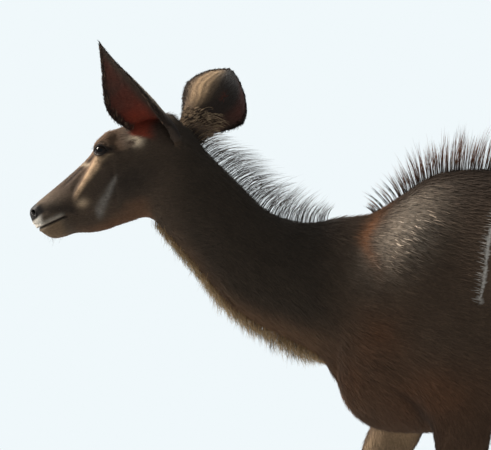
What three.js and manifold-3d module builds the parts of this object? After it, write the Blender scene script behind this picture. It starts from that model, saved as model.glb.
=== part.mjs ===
// A greater kudu cow, life size, standing in a slow walking stance with her neck stretched forward.
// Lengths are millimetres. +Z is up, the animal looks along -X, and her left side faces -Y.
// The flesh is one smooth field: a trunk, neck, head, four legs and a tail, each a tube whose
// section changes along its length, melted together, with muscles and bones as soft swellings.
// Each named part is a loft of rings that are cast from the inside of the animal onto that field.
import * as THREE from "three";
import { mergeVertices } from "three/addons/utils/BufferGeometryUtils.js";
import Module from "manifold-3d";

const wasm = await Module();
wasm.setup();

// Driving dimensions
const GAP = 0.3; // between parts that touch
const EYE_RADIUS = 17;
const EYE_PLACE = { along: 104, up: 71, side: 47 }; // in the head's own frame
const EYE_LOOK = { forward: 0.24, up: 0.3 }; // how far the gaze leans from straight sideways
const LID_THICKNESS = 2.6;
const LID_OPENING = { length: 33, height: 19, tilt: 0.35 };
const MOUTH_LEVEL = -30;
const MOUTH_DEPTH = 7;
const MOUTH_GAPE = 2.2; // half height of the line between the lips, at the skin
const EAR_WALL = 3.2;
const HOOF_HEIGHT = 56;
const HOOF_CLEFT = 5;
const STEP_FORE_FAR = -285; // the far forefoot stands this far ahead of the near one
const SWING_HIND_NEAR = -105;
const SWING_HIND_FAR = 85;

// Small vector helpers
const add = (a, b, k = 1) => [a[0] + b[0] * k, a[1] + b[1] * k, a[2] + b[2] * k];
const dot = (a, b) => a[0] * b[0] + a[1] * b[1] + a[2] * b[2];
const cross = (a, b) => [a[1] * b[2] - a[2] * b[1], a[2] * b[0] - a[0] * b[2], a[0] * b[1] - a[1] * b[0]];
const unit = (a) => {
  const size = Math.hypot(...a);
  return [a[0] / size, a[1] / size, a[2] / size];
};
const mix = (a, b, t) => a.map((value, i) => value + (b[i] - value) * t);
const clamp = (x, low, high) => Math.min(high, Math.max(low, x));
const smoothstep = (low, high, x) => {
  const t = clamp((x - low) / (high - low), 0, 1);
  return t * t * (3 - 2 * t);
};

// A smooth curve through the rows of a table, whose first column is the position.
function smoothRow(rows, t) {
  const last = rows.length - 1;
  if (t <= rows[0][0]) return rows[0].slice(1);
  if (t >= rows[last][0]) return rows[last].slice(1);
  let i = 0;
  while (rows[i + 1][0] < t) i += 1;
  const slope = (j, column) => {
    const before = rows[Math.max(j - 1, 0)];
    const after = rows[Math.min(j + 1, last)];
    return (after[column] - before[column]) / (after[0] - before[0]);
  };
  const span = rows[i + 1][0] - rows[i][0];
  const u = (t - rows[i][0]) / span;
  const out = [];
  for (let c = 1; c < rows[0].length; c += 1) {
    const start = rows[i][c];
    const end = rows[i + 1][c];
    const m0 = slope(i, c) * span;
    const m1 = slope(i + 1, c) * span;
    out.push(
      (2 * u ** 3 - 3 * u ** 2 + 1) * start +
        (u ** 3 - 2 * u ** 2 + u) * m0 +
        (3 * u ** 2 - 2 * u ** 3) * end +
        (u ** 3 - u ** 2) * m1,
    );
  }
  return out;
}

// A tube along a straight direction. Its rows give, at each position along it:
// the top and bottom of the section, its half width, the level where it is widest,
// how square it is above and below that level, and how far to the side it lies.
function tube(origin, along, up, rows, low = -Infinity, high = Infinity) {
  const side = [0, 1, 0];
  const start = Math.max(rows[0][0], low);
  const end = Math.min(rows[rows.length - 1][0], high);
  return (p) => {
    const d = add(p, origin, -1);
    const t = dot(d, along);
    const [top, bottom, half, mid, squareTop, squareBottom, offset] = smoothRow(rows, clamp(t, start, end));
    const h = dot(d, up) - mid;
    const y = dot(d, side) - offset;
    const n = h > 0 ? squareTop : squareBottom;
    const reach = h > 0 ? top - mid : mid - bottom;
    const r = Math.hypot(h, y);
    const ratio = (Math.abs(y / half) ** n + Math.abs(h / reach) ** n) ** (1 / n);
    const across = r < 1e-3 ? -Math.min(half, reach) : Math.max(r * (1 - 1 / ratio), -Math.min(half, reach));
    const beyond = Math.max(start - t, t - end);
    return Math.min(Math.max(across, beyond), 0) + Math.hypot(Math.max(across, 0), Math.max(beyond, 0));
  };
}

const melt = (a, b, reach) => {
  const near = Math.max(reach - Math.abs(a - b), 0) / reach;
  return Math.min(a, b) - near * near * reach * 0.25;
};

// A soft swelling, or a hollow where its height is negative, the same on both sides.
// A place is lengthwise, sideways and upwards; lean turns it in the side view, in degrees.
function swelling(place, radius, height, lean = 0) {
  const c = Math.cos((lean * Math.PI) / 180);
  const s = Math.sin((lean * Math.PI) / 180);
  return (p) => {
    const x = p[0] - place[0];
    const z = p[2] - place[2];
    const a = (x * c + z * s) / radius[0];
    const b = (Math.abs(p[1]) - place[1]) / radius[1];
    const d = (-x * s + z * c) / radius[2];
    return height * Math.exp(-(a * a + b * b + d * d));
  };
}

// Trunk: position, back line, underline, half width, widest level, squareness above and below, offset
const trunkRows = [
  [-312, 866, 800, 18, 832, 2, 2, 0],
  [-290, 985, 744, 64, 850, 2, 2, 0],
  [-250, 1085, 706, 100, 870, 1.9, 2, 0],
  [-190, 1172, 685, 128, 890, 1.75, 2, 0],
  [-110, 1226, 679, 148, 905, 1.6, 2, 0],
  [-20, 1247, 690, 162, 915, 1.6, 2.1, 0],
  [90, 1243, 700, 174, 920, 1.7, 2.2, 0],
  [250, 1227, 706, 188, 930, 1.85, 2.2, 0],
  [430, 1221, 722, 192, 945, 1.95, 2.1, 0],
  [580, 1230, 757, 182, 980, 1.95, 2, 0],
  [700, 1238, 800, 168, 1020, 1.9, 2, 0],
  [800, 1222, 840, 154, 1040, 1.9, 2, 0],
  [880, 1178, 880, 130, 1040, 1.9, 2, 0],
  [930, 1118, 930, 96, 1030, 2, 2, 0],
  [956, 1062, 985, 48, 1022, 2, 2, 0],
];
const trunk = tube([0, 0, 0], [1, 0, 0], [0, 0, 1], trunkRows);

// Neck, along a line from behind the skull to the shoulders
const NECK_START = [-665, 0, 1255];
const NECK_ALONG = unit([410, 0, -255]);
const NECK_UP = [-NECK_ALONG[2], 0, NECK_ALONG[0]];
const neckRows = [
  [-60, 84, -62, 46, 10, 2, 2, 0],
  [0, 88, -98, 58, 0, 2, 2, 0],
  [45, 70, -122, 62, -20, 2, 2, 0],
  [100, 57, -139, 64, -38, 1.9, 2, 0],
  [165, 42, -158, 67, -55, 1.85, 2, 0],
  [215, 31, -176, 71, -68, 1.8, 2, 0],
  [265, 35, -190, 77, -75, 1.8, 2, 0],
  [320, 57, -195, 87, -72, 1.75, 2, 0],
  [375, 106, -190, 101, -60, 1.7, 2, 0],
  [440, 150, -184, 116, -45, 1.7, 2, 0],
  [520, 170, -176, 122, -30, 1.7, 2, 0],
];
const neck = tube(NECK_START, NECK_ALONG, NECK_UP, neckRows);

// Head, in a frame of its own that starts between the ears and runs to the muzzle
const HEAD_START = [-688, 0, 1255.6];
const HEAD_ALONG = unit([-277.4, 0, -109.6]);
const HEAD_UP = [HEAD_ALONG[2], 0, -HEAD_ALONG[0]];
const headPoint = (along, side, up) =>
  add(add(add(HEAD_START, HEAD_ALONG, along), HEAD_UP, up), [0, 1, 0], side);
const headRows = [
  [-66, 90, -58, 44, 25, 2, 2, 0],
  [-30, 103, -74, 55, 25, 2.1, 2, 0],
  [20, 107, -89, 60, 18, 2.2, 2, 0],
  [60, 106, -92, 61, 18, 2.3, 1.9, 0],
  [88, 103, -91, 62, 22, 2.4, 1.8, 0],
  [112, 90, -90, 59, 22, 2.3, 1.8, 0],
  [132, 75, -89, 53, 14, 2.2, 1.8, 0],
  [160, 62.5, -88, 45, 4, 2.1, 1.9, 0],
  [190, 51.5, -82, 39, -4, 2, 2, 0],
  [220, 41, -71, 35, -8, 2, 2.1, 0],
  [250, 31, -68, 33.5, -11, 2.1, 2.2, 0],
  [272, 23.5, -61, 33.5, -12, 2.3, 2.2, 0],
  [286, 18.5, -46, 30, -11, 2.3, 2.2, 0],
  [295, 13, -28, 23, -9, 2.2, 2.1, 0],
  [300, 3, -18, 12, -8, 2, 2, 0],
];
const headTube = tube(HEAD_START, HEAD_ALONG, HEAD_UP, headRows);

// Swellings and hollows of the head, in the head's frame
const headForms = [
  swelling([106, 40, 94], [21, 17, 14], 13), // brow over the eye
  swelling([80, 28, 106], [22, 22, 14], 6), // forehead
  swelling([101, 54, 66], [26, 14, 22], 6), // rim of the orbit
  swelling([70, 46, 82], [26, 18, 22], -4), // temple
  swelling([128, 47, 42], [30, 12, 15], 5, -34), // cheek bone under the eye
  swelling([165, 40, 18], [26, 10, 10], 4, -38),
  swelling([140, 36, 66], [26, 10, 12], -4, -24), // hollow before the eye
  swelling([70, 52, -30], [40, 18, 42], 7), // jaw muscle
  swelling([185, 35, -14], [13, 10, 9], 5, 20), // end of the cheek muscle
  swelling([226, 30, -36], [12, 9, 9], -2.5), // corner of the mouth
  swelling([180, 34, -46], [32, 14, 16], -3), // bar of the jaw
  swelling([268, 29, -17], [18, 9, 11], 4.5), // upper lip beside the nostril
  swelling([276, 22, 13], [10, 9, 9], 3.6), // wing of the nostril
  swelling([262, 18, -56], [16, 16, 10], 3), // chin
  swelling([-14, 50, 66], [30, 22, 34], 13), // root of the ear
];
const eyeSockets = [-1, 1].map((side) => headPoint(EYE_PLACE.along, side * EYE_PLACE.side, EYE_PLACE.up));
const headField = (p) => {
  const from = add(p, HEAD_START, -1);
  const local = [dot(from, HEAD_ALONG), p[1], dot(from, HEAD_UP)];
  let d = headTube(p);
  for (const form of headForms) d -= form(local);
  for (const socket of eyeSockets) {
    d = melt(d, Math.hypot(...add(p, socket, -1)) - EYE_RADIUS - LID_THICKNESS, 17);
  }
  return d;
};

// Legs: height, centre, half length, half width, distance from the middle of the body
const foreRows = [
  [36, -80, 31, 28, 70],
  [58, -77, 30, 27, 70],
  [82, -66, 24, 24, 70],
  [110, -54, 23, 22, 70],
  [140, -48, 27, 24, 70],
  [175, -48, 21, 18, 71],
  [240, -47, 19, 16.5, 72],
  [320, -46, 20, 17.5, 73],
  [362, -46, 25, 23, 74],
  [395, -48, 31, 28, 76],
  [430, -46, 31, 28, 78],
  [480, -44, 32, 27, 81],
  [560, -44, 43, 31, 87],
  [643, -44, 60, 38, 95],
  [715, -46, 73, 44, 101],
  [780, -50, 86, 48, 102],
  [860, -50, 92, 48, 95],
];
const hindRows = [
  [36, 777, 31, 28, 76],
  [58, 780, 30, 27, 76],
  [84, 792, 24, 23, 76],
  [112, 804, 23, 22, 76],
  [145, 812, 28, 24, 76],
  [190, 814, 21, 18, 77],
  [280, 818, 20.5, 16.5, 78],
  [380, 822, 21.5, 17, 80],
  [440, 826, 25, 20, 82],
  [480, 832, 32, 24, 84],
  [515, 838, 39, 25, 86],
  [550, 828, 43, 27, 88],
  [600, 809, 55, 33, 93],
  [660, 788, 75, 42, 99],
  [720, 772, 98, 52, 104],
  [780, 768, 120, 60, 106],
  [840, 772, 138, 68, 104],
  [900, 784, 150, 74, 96],
  [1000, 800, 146, 74, 82],
];
const stepCurve = [
  [58, 1],
  [140, 0.95],
  [400, 0.77],
  [643, 0.53],
  [715, 0.37],
  [800, 0.12],
  [860, 0],
];
const HIP_HEIGHT = 1080;
const foreStride = (step) => (z) => step * smoothRow(stepCurve, z)[0];
const hindStride = (swing) => (z) => (swing * (HIP_HEIGHT - z)) / (HIP_HEIGHT - HOOF_HEIGHT);

const legs = [
  { name: "foreleg_left", side: -1, rows: foreRows, stride: foreStride(0), fore: true },
  { name: "foreleg_right", side: 1, rows: foreRows, stride: foreStride(STEP_FORE_FAR), fore: true },
  { name: "hindleg_left", side: -1, rows: hindRows, stride: hindStride(SWING_HIND_NEAR), fore: false },
  { name: "hindleg_right", side: 1, rows: hindRows, stride: hindStride(SWING_HIND_FAR), fore: false },
];
for (const leg of legs) {
  leg.tubeRows = leg.rows.map(([z, x, length, width, apart]) => {
    const centre = -(x + leg.stride(z));
    return [z, centre + length, centre - length, width, centre, 2, 2, leg.side * apart];
  });
  leg.field = tube([0, 0, 0], [0, 0, 1], [-1, 0, 0], leg.tubeRows);
  leg.stump = tube([0, 0, 0], [0, 0, 1], [-1, 0, 0], leg.tubeRows, leg.fore ? 615 : 715);
}

// Tail, hanging behind the thighs
const tailRows = [
  [735, -974, 3, 4, 0],
  [755, -975, 9, 12, 0],
  [790, -978, 13, 18, 0],
  [840, -982, 15, 21, 0],
  [910, -985, 15, 20, 0],
  [1000, -983, 16, 20, 0],
  [1090, -967, 19, 21, 0],
  [1140, -940, 24, 23, 0],
  [1175, -905, 30, 27, 0],
].map(([z, x, length, width, offset]) => [z, x + length, x - length, width, x, 2, 2, offset]);
const TAIL_TUFT = { locks: 11, top: 985, bottom: 775, turn: 2.4 }; // turn in radians from lock to lock
const tailField = tube([0, 0, 0], [0, 0, 1], [-1, 0, 0], tailRows);

// Muscles and bones of the body, as place, radius, height and lean
const bodyForms = [
  swelling([-140, 120, 1090], [62, 90, 165], 17, -20), // shoulder blade
  swelling([-172, 118, 1122], [50, 60, 76], 13, -16), // spine of the shoulder blade
  swelling([-262, 98, 1106], [24, 60, 72], -10, -18), // groove before the shoulder blade
  swelling([-232, 92, 905], [52, 70, 62], 12), // point of the shoulder
  swelling([-48, 138, 860], [85, 80, 115], 13, 18), // back of the upper arm
  swelling([62, 168, 880], [26, 70, 150], -7), // crease behind the shoulder
  swelling([-285, 70, 1010], [40, 60, 90], -9, -16), // hollow before the shoulder
  swelling([-215, 0, 716], [70, 32, 45], 10), // brisket
  swelling([-110, 0, 1252], [95, 26, 40], 7), // withers
  swelling([775, 142, 985], [120, 90, 150], 14), // thigh
  swelling([640, 118, 1155], [42, 42, 38], 13), // hip bone
  swelling([600, 172, 1030], [52, 60, 80], -13), // hollow of the flank
  swelling([930, 58, 1090], [34, 34, 36], 9), // pin bone
  swelling([860, 0, 1030], [90, 26, 150], -6), // cleft between the thighs
];
const softLegs = (p, which) => {
  let d = Infinity;
  for (const leg of legs) d = Math.min(d, leg[which](p));
  return d;
};
const bodyForm = (p) => {
  let forms = 0;
  for (const form of bodyForms) forms += form(p);
  return forms;
};
const flesh = (which) => (p) => {
  const front = melt(neck(p), headField(p), 34);
  const core = melt(trunk(p), front, 70);
  return melt(core, softLegs(p, which), 46) - bodyForm(p);
};
const wholeField = flesh("field");
const trunkField = flesh("stump");

// The distance from a point inside the animal to its skin
function cast(field, from, direction, level = 0, step = 5) {
  let near = 0;
  let far = step;
  while (field(add(from, direction, far)) < level) {
    near = far;
    far += step;
    if (far > 700) throw new Error("a ray never left the animal, from " + from);
  }
  for (let i = 0; i < 14; i += 1) {
    const middle = (near + far) / 2;
    if (field(add(from, direction, middle)) < level) near = middle;
    else far = middle;
  }
  return near;
}

// Closed solids from rings of points, each ring joined to the next, with a point or a flat cap at each end
function solidFromRings(rings, startPoint, endPoint) {
  const around = rings[0].length;
  const points = [...rings.flat(), startPoint, endPoint];
  const first = rings.length * around;
  const faces = [];
  for (let i = 0; i + 1 < rings.length; i += 1) {
    for (let j = 0; j < around; j += 1) {
      const a = i * around + j;
      const b = i * around + ((j + 1) % around);
      const c = a + around;
      const d = b + around;
      faces.push(a, b, d, a, d, c);
    }
  }
  for (let j = 0; j < around; j += 1) {
    const next = (j + 1) % around;
    const end = (rings.length - 1) * around;
    faces.push(first, next, j);
    faces.push(first + 1, end + j, end + next);
  }
  const solid = new wasm.Manifold(
    new wasm.Mesh({
      numProp: 3,
      vertProperties: new Float32Array(points.flat()),
      triVerts: new Uint32Array(faces),
    }),
  );
  if (solid.volume() > 0) return solid;
  for (let i = 0; i < faces.length; i += 3) [faces[i + 1], faces[i + 2]] = [faces[i + 2], faces[i + 1]];
  return new wasm.Manifold(
    new wasm.Mesh({
      numProp: 3,
      vertProperties: new Float32Array(points.flat()),
      triVerts: new Uint32Array(faces),
    }),
  );
}

const middleOf = (ring) => ring.reduce((sum, p) => add(sum, p, 1 / ring.length), [0, 0, 0]);

// Rings are cast from their centres, in the plane of up and side, onto a field.
function castRings(field, stations, around, level = 0) {
  return stations.map(({ centre, up, side = [0, 1, 0] }) => {
    const ring = [];
    for (let j = 0; j < around; j += 1) {
      const angle = (2 * Math.PI * j) / around;
      const direction = add(
        up.map((v) => v * Math.cos(angle)),
        side,
        Math.sin(angle),
      );
      ring.push(add(centre, direction, cast(field, centre, direction, level)));
    }
    return ring;
  });
}

// A three.js geometry as a solid
function solidOf(geometry) {
  const bare = (geometry.index ? geometry.toNonIndexed() : geometry).clone();
  for (const name of Object.keys(bare.attributes)) if (name !== "position") bare.deleteAttribute(name);
  const merged = mergeVertices(bare, 1e-4);
  return new wasm.Manifold(
    new wasm.Mesh({
      numProp: 3,
      vertProperties: merged.attributes.position.array,
      triVerts: new Uint32Array(merged.index.array),
    }),
  );
}

// A solid cut off by a plane, on the side that the normal points to
function cutOff(solid, point, normal, size = 900) {
  const box = new THREE.BoxGeometry(size * 2, size * 2, size);
  box.translate(0, 0, size / 2);
  const turn = new THREE.Quaternion().setFromUnitVectors(
    new THREE.Vector3(0, 0, 1),
    new THREE.Vector3(...unit(normal)),
  );
  box.applyQuaternion(turn);
  box.translate(...point);
  return solid.subtract(solidOf(box));
}

// The largest closed surface of a solid
function largest(solid) {
  const pieces = solid.decompose();
  pieces.sort((a, b) => b.volume() - a.volume());
  return pieces[0];
}

const fuse = (pieces) => pieces.reduce((sum, piece) => sum.add(piece));

// Repeatable draws between -1 and 1
let seed = 7;
function draw() {
  seed = (seed * 16807) % 2147483647;
  return (seed / 2147483647) * 2 - 1;
}

// Planes that part the body: a point, and the direction towards the tail end of the animal
const headPlane = { point: [-669.8, 0, 1248], normal: unit([213, 0, -58]) };
const chestPlane = { point: [-281.5, 0, 996.5], normal: unit([333, 0, -69]) };
const HIND_CUT = { x: 650, z: 760, slope: 0.36 };
const FORE_CUT = 668;
const FORE_INNER = 30; // the brisket between the forelegs stays with the torso
const HIND_INNER = 20;

// The line of a mane or fringe over the skin: where each lock stands and which way it grows
function skinLine(field, from, direction) {
  return add(from, direction, cast(field, from, direction));
}

// A flat lock that tapers from its root to its tip and bends from its rise to its sweep.
// It is three-sided, with its keel towards the given side.
function lock({ root, rise, sweep, side, length, width, thickness, sink, splay = 0, segments = 3 }) {
  const rings = [];
  let place = add(root, rise, -sink);
  for (let i = 0; i <= segments; i += 1) {
    const u = i / segments;
    const heading = unit(add(mix(rise, sweep, smoothstep(0.1, 1, u)), side, splay * u));
    if (i) place = add(place, heading, (length + sink) / segments);
    const broad = unit(cross(heading, side));
    const half = (width / 2) * (i === segments ? 0.1 : (1 - u ** 2.3) * (0.85 + 0.35 * u));
    const thick = thickness * (1 - 0.8 * u);
    rings.push([add(place, broad, half), add(place, side, thick), add(place, broad, -half)]);
  }
  return solidFromRings(rings, middleOf(rings[0]), middleOf(rings[segments]));
}

// Nape mane, from behind the ears to the foot of the neck
const NAPE = { start: -14, end: 348, locks: 24 };
const napeRoot = (u) => {
  const t = NAPE.start + (NAPE.end - NAPE.start) * u;
  return skinLine(wholeField, add(NECK_START, NECK_ALONG, t), NECK_UP);
};
const napeLength = (u) => smoothRow([[0, 30], [0.12, 50], [0.3, 66], [0.6, 64], [0.85, 54], [1, 24]], u)[0];
const napeRise = (u) => unit(mix(unit([0.75, 0, 0.62]), unit([0.12, 0, 1]), smoothstep(0.4, 0.95, u)));
const napeSweep = (u) => unit(mix([1, 0, -0.02], unit([0.75, 0, 0.7]), smoothstep(0.4, 0.95, u)));

// Crest of the back, from before the withers to the croup
const CREST = { start: -228, end: 880, locks: 41 };
const crestPlace = (u) => CREST.start + (CREST.end - CREST.start) * u ** 1.35;
const crestRoot = (u) => skinLine(trunkField, [crestPlace(u), 0, 1000], [0, 0, 1]);
const crestLength = (u) =>
  smoothRow([[0, 18], [0.05, 40], [0.12, 62], [0.24, 79], [0.38, 78], [0.53, 56], [0.75, 36], [1, 22]], u)[0];
const crestLean = (u) =>
  smoothRow([[0, -1.5], [0.08, -0.9], [0.15, -0.35], [0.23, 0], [0.38, 0.45], [0.66, 1], [1, 1.5]], u)[0];
const crestRise = (u) => unit([crestLean(u) * 0.7, 0, 1]);
const crestSweep = (u) => unit([crestLean(u) * 1.3 + 0.02, 0, 1]);

// Fringe under the throat and the front of the neck
const FRINGE = { start: 85, end: 505, locks: 24 };
const fringeRoot = (u) => {
  const t = FRINGE.start + (FRINGE.end - FRINGE.start) * u;
  const from = add(add(NECK_START, NECK_ALONG, t), NECK_UP, -60);
  return skinLine(wholeField, from, NECK_UP.map((v) => -v));
};
const fringeLength = (u) => smoothRow([[0, 14], [0.3, 26], [0.6, 34], [0.85, 38], [1, 22]], u)[0];
const fringeRise = () => unit([-0.15, 0, -1]);
const fringeSweep = () => unit([0.45, 0, -1]);

// A row of locks along a line of the skin, each a little different
function lockRow({ count, root, length, rise, sweep, width, thickness, sink, apart, lean }) {
  const made = [];
  for (let i = 0; i < count; i += 1) {
    const u = clamp((i + 0.5 + 0.25 * draw()) / count, 0, 1);
    const side = i % 2 ? 1 : -1;
    made.push(
      lock({
        root: add(root(u), [0, side * apart, 0]),
        rise: rise(u),
        sweep: sweep(u),
        length: length(u) * (1 + 0.12 * draw()),
        width: width * (1 + 0.15 * draw()),
        thickness,
        sink,
        side: [0, side, 0],
        splay: lean,
      }),
    );
  }
  return made;
}

// A thin ridge along the same line: the body of hair that the locks stand in
function ridge({ count, root, length, rise, sweep, thickness, sink, full }) {
  const rings = [];
  for (let i = 0; i <= count; i += 1) {
    const u = i / count;
    const foot = add(root(u), rise(u), -sink);
    const long = length(u) * full * (i === 0 || i === count ? 0.3 : 1);
    const knee = add(foot, rise(u), sink + long * 0.4);
    const tip = add(knee, unit(mix(rise(u), sweep(u), 0.6)), long * 0.6);
    rings.push([
      add(foot, [0, 1, 0], thickness * 0.6),
      add(knee, [0, 1, 0], thickness * 0.5),
      add(tip, [0, 1, 0], thickness * 0.14),
      add(tip, [0, 1, 0], -thickness * 0.14),
      add(knee, [0, 1, 0], -thickness * 0.5),
      add(foot, [0, 1, 0], -thickness * 0.6),
    ]);
  }
  return solidFromRings(rings, middleOf(rings[0]), middleOf(rings[count]));
}

// Stations of rings between given ones, spread evenly
function spread(first, last, count, centre, up) {
  const out = [];
  for (let i = 0; i < count; i += 1) {
    const u = i / (count - 1);
    const t = first + (last - first) * u;
    out.push({ centre: centre(t, u), up: up(t, u) });
  }
  return out;
}
const leanUp = (degrees) => [Math.sin((degrees * Math.PI) / 180), 0, Math.cos((degrees * Math.PI) / 180)];

// Torso
function torsoStations() {
  const axis = [[-330, 1000], [-250, 960], [-150, 950], [100, 960], [500, 985], [800, 1030], [940, 1030]];
  const stops = [-330, -306, -282, -258, -234, -209, -182, -153, -122, -88, -50, -8, 42, 100, 168]
    .concat([245, 325, 402, 472, 534, 588, 638, 687, 736, 784, 828, 866, 900, 928, 950]);
  return stops.map((x) => ({
    centre: [x, 0, smoothRow(axis, x)[0]],
    up: leanUp(smoothRow([[-330, 11.7], [-280, 11.7], [-120, 0], [950, 0]], x)[0]),
  }));
}
function torsoLoft(level = 0) {
  const stations = torsoStations();
  const rings = castRings(trunkField, stations, 32, level);
  const back = [950, 0, 1030];
  const rump = add(back, [1, 0, 0], cast(trunkField, back, [1, 0, 0], level));
  return solidFromRings(rings, stations[0].centre, rump);
}
function legBox(leg, lowGap) {
  const [length, width, height] = [520, 400, 300];
  const box = new THREE.BoxGeometry(length, width, height);
  if (leg.fore) {
    const top = FORE_CUT - height / 2 + lowGap;
    box.translate(-50 + leg.stride(FORE_CUT), leg.side * (FORE_INNER + width / 2), top);
  } else {
    const turn = Math.atan(HIND_CUT.slope);
    box.translate(0, leg.side * (HIND_INNER + width / 2), -height / 2 + lowGap);
    box.rotateY(-turn);
    box.translate(HIND_CUT.x + 110, 0, HIND_CUT.z + 110 * HIND_CUT.slope);
  }
  return solidOf(box);
}
function makeTorso() {
  const front = add(chestPlane.point, chestPlane.normal, GAP / 2);
  let solid = cutOff(torsoLoft(), front, chestPlane.normal.map((v) => -v));
  for (const leg of legs) solid = (leg.fore ? solid.add(legLoft(leg)) : solid).subtract(legBox(leg, GAP));
  const line = { root: crestRoot, length: crestLength, rise: crestRise, sweep: crestSweep, sink: 9 };
  const core = ridge({ ...line, count: 22, thickness: 4.5, full: 0.48 });
  const locks = lockRow({ ...line, count: CREST.locks, width: 38, thickness: 7, apart: 3.2, lean: 0.02 });
  return largest(fuse([solid, core, ...locks]));
}

// Neck
function neckLoft(level = 0) {
  const turns = [[-45, 15.2], [0, 18], [110, 30], [300, 30], [400, 17], [450, 11.7]];
  const sag = [[-45, 0], [100, -40], [250, -75], [490, -45]];
  const stations = spread(
    -22,
    490,
    17,
    (t) => add(add(NECK_START, NECK_ALONG, t), NECK_UP, smoothRow(sag, t)[0]),
    (t) => leanUp(smoothRow(turns, t)[0]),
  );
  const rings = castRings(wholeField, stations, 24, level);
  return solidFromRings(rings, stations[0].centre, stations[stations.length - 1].centre);
}
function makeNeck() {
  let solid = neckLoft();
  solid = cutOff(solid, add(headPlane.point, headPlane.normal, GAP / 2), headPlane.normal.map((v) => -v));
  solid = cutOff(solid, add(chestPlane.point, chestPlane.normal, -GAP / 2), chestPlane.normal);
  const nape = { root: napeRoot, length: napeLength, rise: napeRise, sweep: napeSweep, sink: 8 };
  const throat = { root: fringeRoot, length: fringeLength, rise: fringeRise, sweep: fringeSweep, sink: 7 };
  let haired = fuse([
    solid,
    ridge({ ...nape, count: 12, thickness: 4.5, full: 0.48 }),
    ridge({ ...throat, count: 12, thickness: 5, full: 0.48 }),
    ...lockRow({ ...nape, count: NAPE.locks, width: 30, thickness: 6, apart: 3.2, lean: 0.02 }),
    ...lockRow({ ...throat, count: FRINGE.locks, width: 27, thickness: 6, apart: 3.4, lean: 0.08 }),
  ]);
  haired = cutOff(haired, add(headPlane.point, headPlane.normal, GAP / 2), headPlane.normal.map((v) => -v));
  return largest(cutOff(haired, add(chestPlane.point, chestPlane.normal, -GAP / 2), chestPlane.normal));
}

// Head
function headLoft(level = 0) {
  const stops = [-12, 8, 28, 46, 61, 73, 83, 92, 101, 110, 120, 131, 144, 158, 172, 186, 200]
    .concat([214, 227, 239, 250, 260, 269, 277, 284, 290, 295, 298.4]);
  const stations = stops.map((s) => ({
    centre: headPoint(
      s < 60 ? s * 0.92 - 16 * (1 - s / 60) : s,
      0,
      smoothRow([[-12, 0], [60, 5], [150, -10], [298, -9]], s)[0],
    ),
    up: leanUp(smoothRow([[-12, 15.2], [30, 4], [100, -17], [140, -21.6], [300, -21.6]], s)[0]),
  }));
  const rings = castRings(wholeField, stations, 32, level);
  const front = stations[stations.length - 1].centre;
  const tip = add(front, HEAD_ALONG, cast(wholeField, front, HEAD_ALONG, level, 0.5));
  return solidFromRings(rings, stations[0].centre, tip);
}
const eyeCentre = (side) => headPoint(EYE_PLACE.along, side * EYE_PLACE.side, EYE_PLACE.up);
const eyeLook = (side) =>
  unit(add(add([0, side, 0], HEAD_ALONG, EYE_LOOK.forward), HEAD_UP, EYE_LOOK.up));
function ball(centre, radius, detail = 3) {
  const geometry = new THREE.IcosahedronGeometry(radius, detail);
  geometry.translate(...centre);
  return solidOf(geometry);
}
// The almond between the lids, as a prism that runs outwards along the gaze
function lidOpening(side) {
  const shape = new THREE.Shape();
  const half = LID_OPENING.length / 2;
  shape.moveTo(-half, 0);
  shape.quadraticCurveTo(-half * 0.1, LID_OPENING.height * 1.05, half, 0);
  shape.quadraticCurveTo(-half * 0.1, -LID_OPENING.height * 0.95, -half, 0);
  const geometry = new THREE.ExtrudeGeometry(shape, { depth: 60, bevelEnabled: false, curveSegments: 7 });
  const out = eyeLook(side);
  const lengthwise = unit(add(HEAD_ALONG, out, -dot(HEAD_ALONG, out)));
  const turned = unit(add(lengthwise, unit(cross(out, lengthwise)), side * LID_OPENING.tilt));
  const across = cross(out, turned);
  const frame = new THREE.Matrix4().makeBasis(
    new THREE.Vector3(...turned),
    new THREE.Vector3(...across),
    new THREE.Vector3(...out),
  );
  frame.setPosition(...add(eyeCentre(side), out, 4));
  geometry.applyMatrix4(frame);
  return solidOf(geometry);
}
// The wedge between the lips, from one corner of the mouth round the front to the other
function mouthWedge() {
  const middle = [238, 0, MOUTH_LEVEL];
  const reach = 104;
  const count = 16;
  const rings = [];
  for (let i = 0; i <= count; i += 1) {
    const angle = ((i / count) * 2 - 1) * reach * (Math.PI / 180);
    const direction = add(HEAD_ALONG.map((v) => v * Math.cos(angle)), [0, 1, 0], Math.sin(angle));
    const ends = 1 - smoothstep(0.8, 1, Math.abs((i / count) * 2 - 1));
    const lift = 3 * Math.cos(angle * 1.6);
    const from = headPoint(middle[0], 0, middle[2] - lift * 0.4);
    const skin = cast(wholeField, from, direction, 0, 2);
    const gape = 0.4 + MOUTH_GAPE * ends + 2;
    rings.push([
      add(add(from, direction, skin + 6), HEAD_UP, gape),
      add(from, direction, skin - MOUTH_DEPTH * (0.15 + 0.85 * ends)),
      add(add(from, direction, skin + 6), HEAD_UP, -gape),
    ]);
  }
  return solidFromRings(rings, middleOf(rings[0]), middleOf(rings[count]));
}
function nostril(side) {
  const geometry = new THREE.IcosahedronGeometry(1, 2);
  geometry.scale(9.5, 7, 6.2);
  const frame = new THREE.Matrix4().makeBasis(
    new THREE.Vector3(...unit(add(HEAD_ALONG, HEAD_UP, 0.9))),
    new THREE.Vector3(0, 1, 0),
    new THREE.Vector3(...unit(cross(unit(add(HEAD_ALONG, HEAD_UP, 0.9)), [0, 1, 0]))),
  );
  geometry.applyMatrix4(frame);
  const from = headPoint(274, side * 5, 5);
  const direction = unit(add([0, side, 0], HEAD_ALONG, 0.8));
  geometry.translate(...add(from, direction, cast(wholeField, from, direction, 0, 2) + 1));
  return solidOf(geometry);
}
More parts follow.
